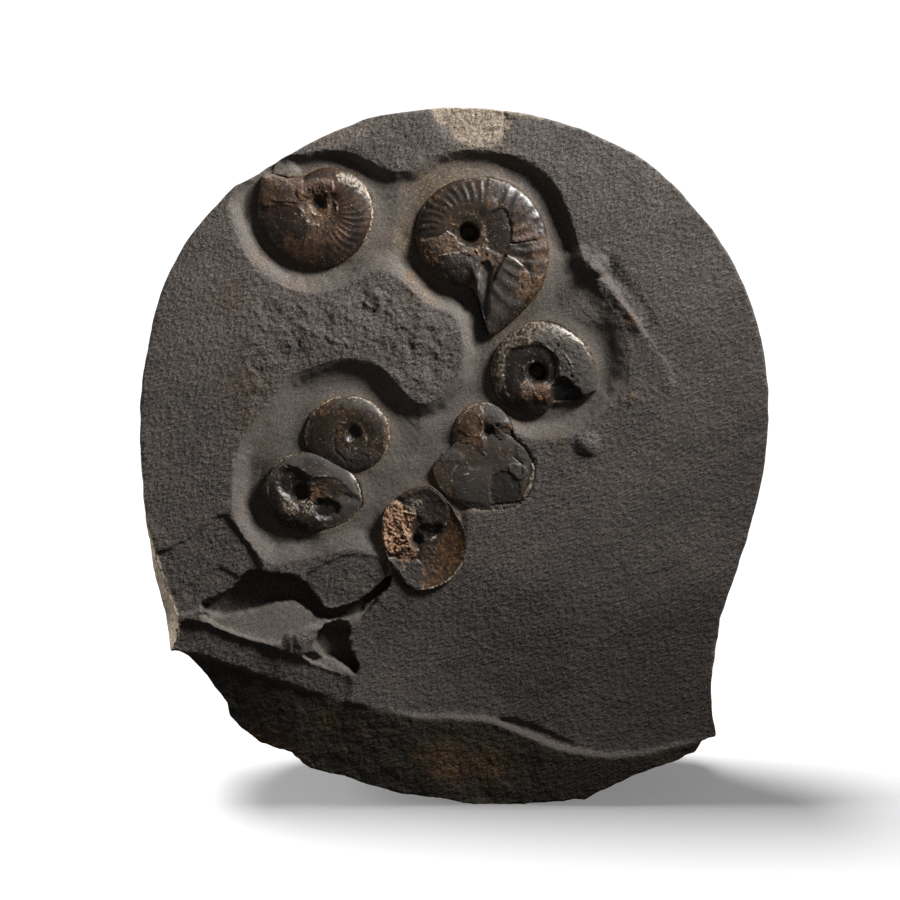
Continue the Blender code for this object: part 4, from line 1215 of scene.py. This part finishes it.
class PlateSizes(bpy.types.PropertyGroup):
    """How finely the pieces are meshed."""

    stone_grid: IntProperty(
        name="Stone grid", description="Points along one side of the front", default=421, min=60)
    stone_triangles: IntProperty(
        name="Stone triangles", description="Triangles kept in the stone", default=192000, max=199000)
    shell_spacing: FloatProperty(
        name="Shell spacing", description="Distance between the points of a shell",
        subtype="DISTANCE", unit="LENGTH", default=0.00045)


class PlateStudio(bpy.types.PropertyGroup):
    """Camera and lights."""

    camera_elevation: FloatProperty(
        name="Camera elevation", description="Height angle of the camera",
        subtype="ANGLE", default=math.radians(14.0))
    lens: FloatProperty(name="Lens", description="Focal length in millimetres", unit="CAMERA", default=120.0)
    frame_width: FloatProperty(
        name="Frame width", description="Width seen at the plate",
        subtype="DISTANCE", unit="LENGTH", default=0.45)
    key_power: FloatProperty(
        name="Key power", description="Power of the lamp above right", unit="POWER", default=2.1)
    key_size: FloatProperty(
        name="Key size", description="Side of the lamp above right", unit="LENGTH", default=0.22)
    key_spread: FloatProperty(
        name="Key spread", description="Angle of the lamp's honeycomb",
        subtype="ANGLE", default=math.radians(66.0))
    key_place: FloatVectorProperty(
        name="Key place", description="Place of the lamp above right",
        subtype="XYZ", default=(0.50, -0.24, 0.79))
    key_aim: FloatVectorProperty(
        name="Key aim", description="Point that the lamp above right is turned to",
        subtype="XYZ", default=(-0.23, 0.0, 0.205))
    top_strength: FloatProperty(
        name="Top strength", description="Strength of the even light from above and behind", default=3.7)
    fill_power: FloatProperty(
        name="Fill power", description="Power of the lamp low on the left", unit="POWER", default=3.4)
    fill_place: FloatVectorProperty(
        name="Fill place", description="Place of the lamp low on the left",
        subtype="XYZ", default=(-0.85, 0.12, 0.30))
    ambient: FloatProperty(name="Ambient", description="Strength of the light from all round", default=0.06)


class PLATE_OT_stone(bpy.types.Operator):
    """Mesh the stone from its relief and give it the mudstone's finish"""

    bl_idname = "plate.stone"
    bl_label = "Build the stone"

    def execute(self, context):
        sizes = context.scene.plate_sizes
        t, bearing = disc_grid(sizes.stone_grid)
        front, back = self.front(t, bearing), self.back(t, bearing)
        points = np.concatenate([front.reshape(-1, 3), back.reshape(-1, 3)])
        points[:, 2] = np.maximum(points[:, 2], 0.0)
        stone = mesh_piece("stone", points, self.closed_quads(sizes.stone_grid))
        share_kept = sizes.stone_triangles / (2.0 * len(stone.data.polygons))
        keep_modifier(stone, "DECIMATE", ratio=share_kept)
        finish_mesh(stone)
        self.mark(stone)
        stone.data.materials.append(mudstone_material(context.scene.plate_colours))
        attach(stone, "root")
        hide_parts("rock_matrix")
        return {"FINISHED"}

    def front(self, t, bearing):
        """Positions of the carved front, on a grid bent to the outline."""
        edge = broken_edge(bearing)
        x = SHEET_CENTRE[0] + t * edge * np.cos(bearing)
        y = SHEET_CENTRE[1] + t * edge * np.sin(bearing)
        return to_frame(x, y, carved_relief(x, y))

    def back(self, t, bearing):
        """Positions of the squared-off back, broken into flat faces, on the same grid."""
        edge = broken_edge(bearing)
        turn = np.clip(t, 0.0, 1.0) * math.pi / 2.0
        inward = np.sin(turn) ** (2.0 / BACK_SQUARENESS)
        outward = np.clip(np.cos(turn), 0.0, 1.0) ** (2.0 / BACK_SQUARENESS)
        x = SHEET_CENTRE[0] + inward * edge * np.cos(bearing)
        y = SHEET_CENTRE[1] + inward * edge * np.sin(bearing)
        share = np.clip((y - TOP_EDGE) / TOP_TO_BASE, 0.0, 1.0)
        thickness = TOP_THICKNESS + (BASE_THICKNESS - TOP_THICKNESS) * share
        around = np.linspace(-math.pi, math.pi, RIM_READINGS)
        rim = broken_edge(around)
        rim_x = SHEET_CENTRE[0] + rim * np.cos(around)
        rim_y = SHEET_CENTRE[1] + rim * np.sin(around)
        rim_height = carved_relief(rim_x, rim_y)
        height = np.interp(bearing, around, rim_height) * (1.0 - outward) - thickness * outward
        height += smooth(outward * BACK_BREAKING) * (
            form(facets, "back_faces", x + height, y) + form(facets, "small_back_faces", x, y + height)
            + form(layered, "back_lumps", x + height, y - height))
        return to_frame(x, y, height)

    def closed_quads(self, count):
        """Faces of the front grid and of the back grid, which share the front's border."""
        index = np.arange(count * count).reshape(count, count)
        corners = [index[:-1, :-1], index[1:, :-1], index[1:, 1:], index[:-1, 1:]]
        quads = np.stack(corners, axis=-1).reshape(-1, 4)
        border = np.zeros((count, count), bool)
        border[[0, -1], :] = border[:, [0, -1]] = True
        behind = np.where(border, index, index + count * count).reshape(-1)
        return np.concatenate([quads, behind[quads][:, ::-1]])

    def mark(self, stone):
        """Keep at each vertex how abraded, rough, pale, weathered and stained the stone is there."""
        x, y, height = to_sheet(positions(stone))
        behind = smooth((BACK_BEGINS - height) / BACK_BLENDS)
        front = 1.0 - behind
        lens = lens_share(x, y)
        prepared = inside_share(PREPARED, x, y, 4.0, cuts=2)
        below = smooth((y - along(FOOT_LINE, x) + 2.0) / 8.0)
        beside = smooth(1.2 - np.abs(from_shells(x, y)) / 5.0) * prepared
        store(stone, "abraded", front * np.maximum(prepared, lens))
        store(stone, "rough", np.maximum(front * rough_share(x, y) * (1.0 - lens), behind))
        fray = np.clip(FRAY_BEGINS - height, 0.0, FRAY_MOST)
        fray_x = x + fray * layered(x + height, y, FRAY_WIDTH, 55)
        fray_y = y + fray * layered(x, y + height, FRAY_WIDTH, 58)
        pale = area_share(PALE_EDGES, fray_x, fray_y) * smooth((height - PALE_ENDS) / PALE_FADES)
        store(stone, "pale", pale * front)
        store(stone, "rind", np.maximum(below * (1.0 - lens), behind))
        store(stone, "ochre", front * spots(OCHRE, x, y))
        store(stone, "lens", front * lens)
        store(stone, "sand", front * np.maximum(spots(SAND, x, y), DUST_BESIDE_SHELLS * beside))


class PLATE_OT_shells(bpy.types.Operator):
    """Mesh the eight coiled shells and give them the finish of mineralised shell"""

    bl_idname = "plate.shells"
    bl_label = "Build the shells"

    def execute(self, context):
        spacing = context.scene.plate_sizes.shell_spacing * 1000.0 / MM_PER_STEP
        colours = context.scene.plate_colours
        tones = {
            "brown_shell": ("rusty_calcite_shell", colours.shell_dark, colours.shell_warm, 0.30),
            "dark_shell": ("dark_calcite_shell", colours.shell_dark, colours.shell_brown, 0.28),
            "grey_cast": ("bare_stone_cast", colours.shell_brown, colours.shell_cast, 0.42),
            "crystal_fill": ("calcite_filled_shell", colours.shell_dark, colours.shell_warm, 0.30),
        }
        finishes = {
            slot: shell_material(title, colours, under, over, satin)
            for slot, (title, under, over, satin) in tones.items()
        }
        slots = {entry["node"]: entry["material_slot"] for entry in frame["record"]["subparts"]}
        for name, shell in SHELLS.items():
            piece = self.coil(name, shell, spacing)
            piece.data.materials.append(finishes[slots[name]])
            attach(piece, "root")
            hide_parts(name)
        return {"FINISHED"}

    def coil(self, name, shell, spacing):
        """One shell: its coiled surface on a polar grid, on a wall that ends inside the stone."""
        radius = np.array([r for _, r in shell["radii"]])
        spokes = 2 * int(math.pi * radius.mean() / spacing)
        rings = int(radius.mean() / spacing)
        bearings = np.linspace(0.0, 2.0 * math.pi, spokes, endpoint=False)
        ring_shares = np.linspace(0.004, 1.0, rings) ** 0.85
        rho, bearing = np.meshgrid(ring_shares, bearings, indexing="ij")
        nicks = SHELL_NICKS * layered(bearing * 25.0, rho * 0.0, 2.0, 70)
        outline = shell_outline(shell, bearing) * (1.0 + nicks)
        x = shell["centre"][0] + outline * rho * np.cos(bearing)
        y = shell["centre"][1] + outline * rho * np.sin(bearing)
        height, finish = self.surface(name, shell, rho, bearing, x, y)

        wall = to_frame(x[-1], y[-1], np.full(spokes, shell["base"]))[None]
        grid = np.concatenate([to_frame(x, y, height), wall])
        rows = len(grid)
        index = np.arange(rows * spokes).reshape(rows, spokes)
        around = np.roll(index, -1, axis=1)
        quads = np.stack([index[:-1], around[:-1], around[1:], index[1:]], axis=-1).reshape(-1, 4)
        cap = np.arange(spokes // 2 - 1)
        inner, outer = (
            np.stack([ring[cap], ring[cap + 1], ring[-cap - 2], ring[-cap - 1]], axis=-1)
            for ring in (index[0], index[-1])
        )
        quads = np.concatenate([quads, inner[:, ::-1], outer])
        piece = mesh_piece(name.replace("ammonite", "shell"), grid.reshape(-1, 3), quads)
        finish_mesh(piece)
        for kind, share in finish.items():
            store(piece, kind, np.append(share.ravel(), share[-1]))
        return piece

    def surface(self, name, shell, rho, bearing, x, y):
        """Height of a shell's surface and the shares of what shows on it."""
        from_eye = np.hypot(x - shell["eye"][0], y - shell["eye"][1])
        to_rim = shell_outline(shell, bearing) * (1.0 - rho)
        from_hub = from_eye - shell["hub"]
        flank = np.clip(from_hub / np.maximum(from_hub + to_rim, 0.1), 0.0, 1.0)
        rise = shell["crest"] - shell["rim"]
        sunken = 1.0 - WHORL_SINKS * smooth(1.0 - flank / SINKING_SHARE)
        height = shell["rim"] + rise * (1.0 - flank**WHORL_SQUARENESS) ** WHORL_FULLNESS * sunken
        has_eye = shell["hub"] > 0.0
        at_eye = smooth((shell["hub"] + 3.5 - from_eye) / 7.0) * has_eye
        wound = np.cos((from_eye / max(shell["hub"], 4.0) * WINDING + bearing) * 2.0)
        near_eye = smooth((shell["hub"] * 3.2 - from_eye) / 8.0)
        height += INNER_WHORLS * wound * near_eye * has_eye - shell["hole"] * at_eye

        inside = smooth((1.0 - rho) / 0.06)
        height, finish, unbroken = self.layers(name, height, inside, x, y)
        height += self.ribs(shell, rho, bearing) * unbroken
        flake = smooth(layered(x, y, 13.0, 85) * 5.0 - 1.0)
        worn = form(layered, "shell_dents", x, y) + form(layered, "shell_pits", x, y)
        worn += form(ripple, "shell_grain", x, y)
        height += inside * (worn - FLAKE_DEPTH * flake)

        rim = smooth((rho - 0.955) / 0.02)
        # Pale rim lines, partly painted highlights where the rim faces the light
        for first, last, strength in RIM_LINES[name]:
            arc = between(bearing, first, last, RIM_LINE_FADE)
            finish["pale"] = np.maximum(finish["pale"], strength * arc * rim)
        # Painted shade: the open eye of the coil gets the near-black dark mark, besides its sunken hole
        in_eye = smooth((shell["hub"] + 1.0 - from_eye) / 5.0) * has_eye
        finish["dark"] = np.maximum(finish["dark"], in_eye)
        flaked = 0.30 * flake * (1.0 - finish["grey"]) * (1.0 - finish["dark"])
        finish["rust"] = np.maximum(finish["rust"], flaked)
        edge_dust = 0.75 * smooth((rho - 0.84) / 0.12) + 0.55 * near_eye + 0.5 * finish["rust"]
        finish["dusted"] = np.minimum(edge_dust * smooth(0.5 + 1.2 * layered(x, y, 20.0, 88)), 1.0)
        return height, finish

    def layers(self, name, height, inside, x, y):
        """The surface with its broken layers and seams, what shows on it, and where its ribs are whole."""
        wavy_x = x + form(layered, "layer_waves_x", x, y)
        wavy_y = y + form(layered, "layer_waves_y", x, y)
        crumbs = form(facets, "shell_breaks", x, y) + form(facets, "small_shell_breaks", x, y)
        crumbs += form(ripple, "shell_crumbs", x, y)
        kinds = ("rust", "grey", "pale", "dark", "crystal", "stone")
        finish = {kind: np.zeros(np.shape(x)) for kind in (*kinds, "crumbled")}
        unbroken = np.ones(np.shape(x))
        for outline, step, softness, crumble, kind, strength in LAYERS[name]:
            mask = inside_share(outline, wavy_x, wavy_y, softness)
            height = height + (step + crumble * crumbs) * mask * inside
            for other in kinds:
                finish[other] = finish[other] * (1.0 - 0.7 * mask)
            finish[kind] = np.maximum(finish[kind], strength * mask)
            finish["crumbled"] = np.maximum(finish["crumbled"], min(crumble * 1.5, 1.0) * mask)
            if crumble > 0.3 or step < -0.5:
                unbroken = unbroken * (1.0 - 0.8 * mask)
        seam_x = x + form(layered, "seam_waves_x", x, y)
        seam_y = y + form(layered, "seam_waves_y", x, y)
        kept = smooth(0.75 + 1.6 * layered(x, y, 8.0, 75))
        for points, half_width, step, kind, strength in SEAMS[name]:
            near = smooth(1.25 - distance_to_line(points, seam_x, seam_y) / (0.62 * half_width)) * kept
            height = height + 0.7 * step * near * inside
            finish[kind] = np.maximum(finish[kind], strength * near)
        return height, finish, unbroken

    def ribs(self, shell, rho, bearing):
        """Rise of the ribs, swept like an S from the eye to the rim and stronger in some stretches."""
        total = np.zeros(np.shape(rho))
        for count, rib_height, first, last, from_share, to_share in shell["ribs"]:
            arc = between(bearing, first, last, RIB_FADE)
            sweep = RIB_BEND * np.sin((rho - 0.4) * 3.4) - RIB_HOOK * np.cos(rho * 9.0)
            uneven = 0.65 + 0.35 * ripple(bearing * 12.0, rho * 2.0, 1.0, 91)
            rib = 0.5 + 0.5 * np.cos(count * (bearing + sweep + 0.012 * ripple(bearing * 9.0, rho, 1.0, 92)))
            band = smooth((rho - from_share) / 0.16) * (1.0 - smooth((rho - to_share) / 0.06))
            total += rib_height * uneven * band * arc * (rib**RIB_SHARPNESS - RIB_SUNK)
        return total


class PLATE_OT_studio(bpy.types.Operator):
    """Set the white table, the lamps and the camera at the photograph's angle"""

    bl_idname = "plate.studio"
    bl_label = "Set the studio"

    def execute(self, context):
        scene = context.scene
        studio = scene.plate_studio
        corners = TABLE_HALF * np.array([(-1, -1, 0), (1, -1, 0), (1, 1, 0), (-1, 1, 0)])
        table = mesh_piece("table_sweep", corners, np.array([[0, 1, 2, 3]]))
        table.data.materials.append(paper_material(scene.plate_colours))
        table.visible_diffuse = False
        table.visible_glossy = False

        middle = Vector(to_frame(*SIGHT_CENTRE, 0.0))
        camera = bpy.data.objects.new("camera", bpy.data.cameras.new("camera"))
        camera.data.lens = studio.lens
        distance = studio.frame_width * studio.lens / camera.data.sensor_width
        direction = Vector((0.0, -math.cos(studio.camera_elevation), math.sin(studio.camera_elevation)))
        camera.location = middle + direction * distance
        camera.rotation_euler = direction.to_track_quat("Z", "Y").to_euler()
        camera.data.clip_end = 50.0
        scene.collection.objects.link(camera)
        scene.camera = camera

        key = self.lamp("key_lamp", "AREA", Vector(studio.key_place), Vector(studio.key_aim),
                        energy=studio.key_power, size=studio.key_size, spread=studio.key_spread)
        key.light_linking.receiver_collection = self.all_but(table)
        self.lamp("fill_lamp", "AREA", Vector(studio.fill_place), Vector(FILL_AIM),
                  energy=studio.fill_power, size=FILL_SIZE)
        self.lamp("top_lamp", "SUN", Vector(TOP_DIRECTION), Vector((0, 0, 0)),
                  energy=studio.top_strength, angle=TOP_SOFTNESS)
        scene.world = self.studio_world(studio.ambient)
        scene.view_settings.view_transform = "Standard"
        scene.view_settings.look = "None"
        return {"FINISHED"}

    def all_but(self, table):
        """A collection that keeps a lamp's light off the table, as a flag in front of the lamp would."""
        kept_off = bpy.data.collections.new("key_flag")
        kept_off.objects.link(table)
        kept_off.collection_objects[0].light_linking.link_state = "EXCLUDE"
        return kept_off

    def studio_world(self, ambient):
        """White behind the plate, and a faint even light from all round."""
        world = bpy.data.worlds.new("studio_white")
        world.use_nodes = True
        tree = world.node_tree
        tree.nodes.clear()
        seen = add_node(tree, "ShaderNodeLightPath").outputs["Is Camera Ray"]
        brightness = {0: seen, 1: 0.0, 2: 1.0, 3: ambient, 4: 1.0}
        strength = add_node(tree, "ShaderNodeMapRange", brightness).outputs[0]
        light = add_node(tree, "ShaderNodeBackground", {"Color": (1.0, 1.0, 1.0, 1.0), "Strength": strength})
        add_node(tree, "ShaderNodeOutputWorld", {"Surface": light.outputs[0]})
        return world

    def lamp(self, name, kind, place, target, **settings):
        """One lamp at a place, turned to its target."""
        data = bpy.data.lights.new(name, kind)
        for setting, value in settings.items():
            setattr(data, setting, value)
        made = bpy.data.objects.new(name, data)
        made.location = place
        made.rotation_euler = (place - target).to_track_quat("Z", "Y").to_euler()
        bpy.context.scene.collection.objects.link(made)
        return made


class PLATE_PT_panel(bpy.types.Panel):
    """The plate's sizes, colours and steps"""

    bl_label = "Ammonite plate"
    bl_idname = "PLATE_PT_panel"
    bl_space_type = "VIEW_3D"
    bl_region_type = "UI"
    bl_category = "Plate"

    def draw(self, context):
        layout = self.layout
        for group in (context.scene.plate_sizes, context.scene.plate_colours, context.scene.plate_studio):
            box = layout.box()
            for name in group.bl_rna.properties.keys():
                if name not in {"rna_type", "name"}:
                    box.prop(group, name)
        for operator in (PLATE_OT_stone, PLATE_OT_shells, PLATE_OT_studio):
            layout.operator(operator.bl_idname)


CLASSES = (
    PlateColours, PlateSizes, PlateStudio,
    PLATE_OT_stone, PLATE_OT_shells, PLATE_OT_studio, PLATE_PT_panel,
)


def register():
    for cls in CLASSES:
        bpy.utils.register_class(cls)
    bpy.types.Scene.plate_colours = PointerProperty(type=PlateColours)
    bpy.types.Scene.plate_sizes = PointerProperty(type=PlateSizes)
    bpy.types.Scene.plate_studio = PointerProperty(type=PlateStudio)


def unregister():
    del bpy.types.Scene.plate_studio
    del bpy.types.Scene.plate_sizes
    del bpy.types.Scene.plate_colours
    for cls in reversed(CLASSES):
        bpy.utils.unregister_class(cls)


def main():
    register()
    for leftover in ("Cube", "Light", "Camera"):
        if leftover in bpy.data.objects:
            bpy.data.objects.remove(bpy.data.objects[leftover])
    bpy.ops.plate.stone()
    bpy.ops.plate.shells()
    bpy.ops.plate.studio()


if __name__ == "__main__":
    main()
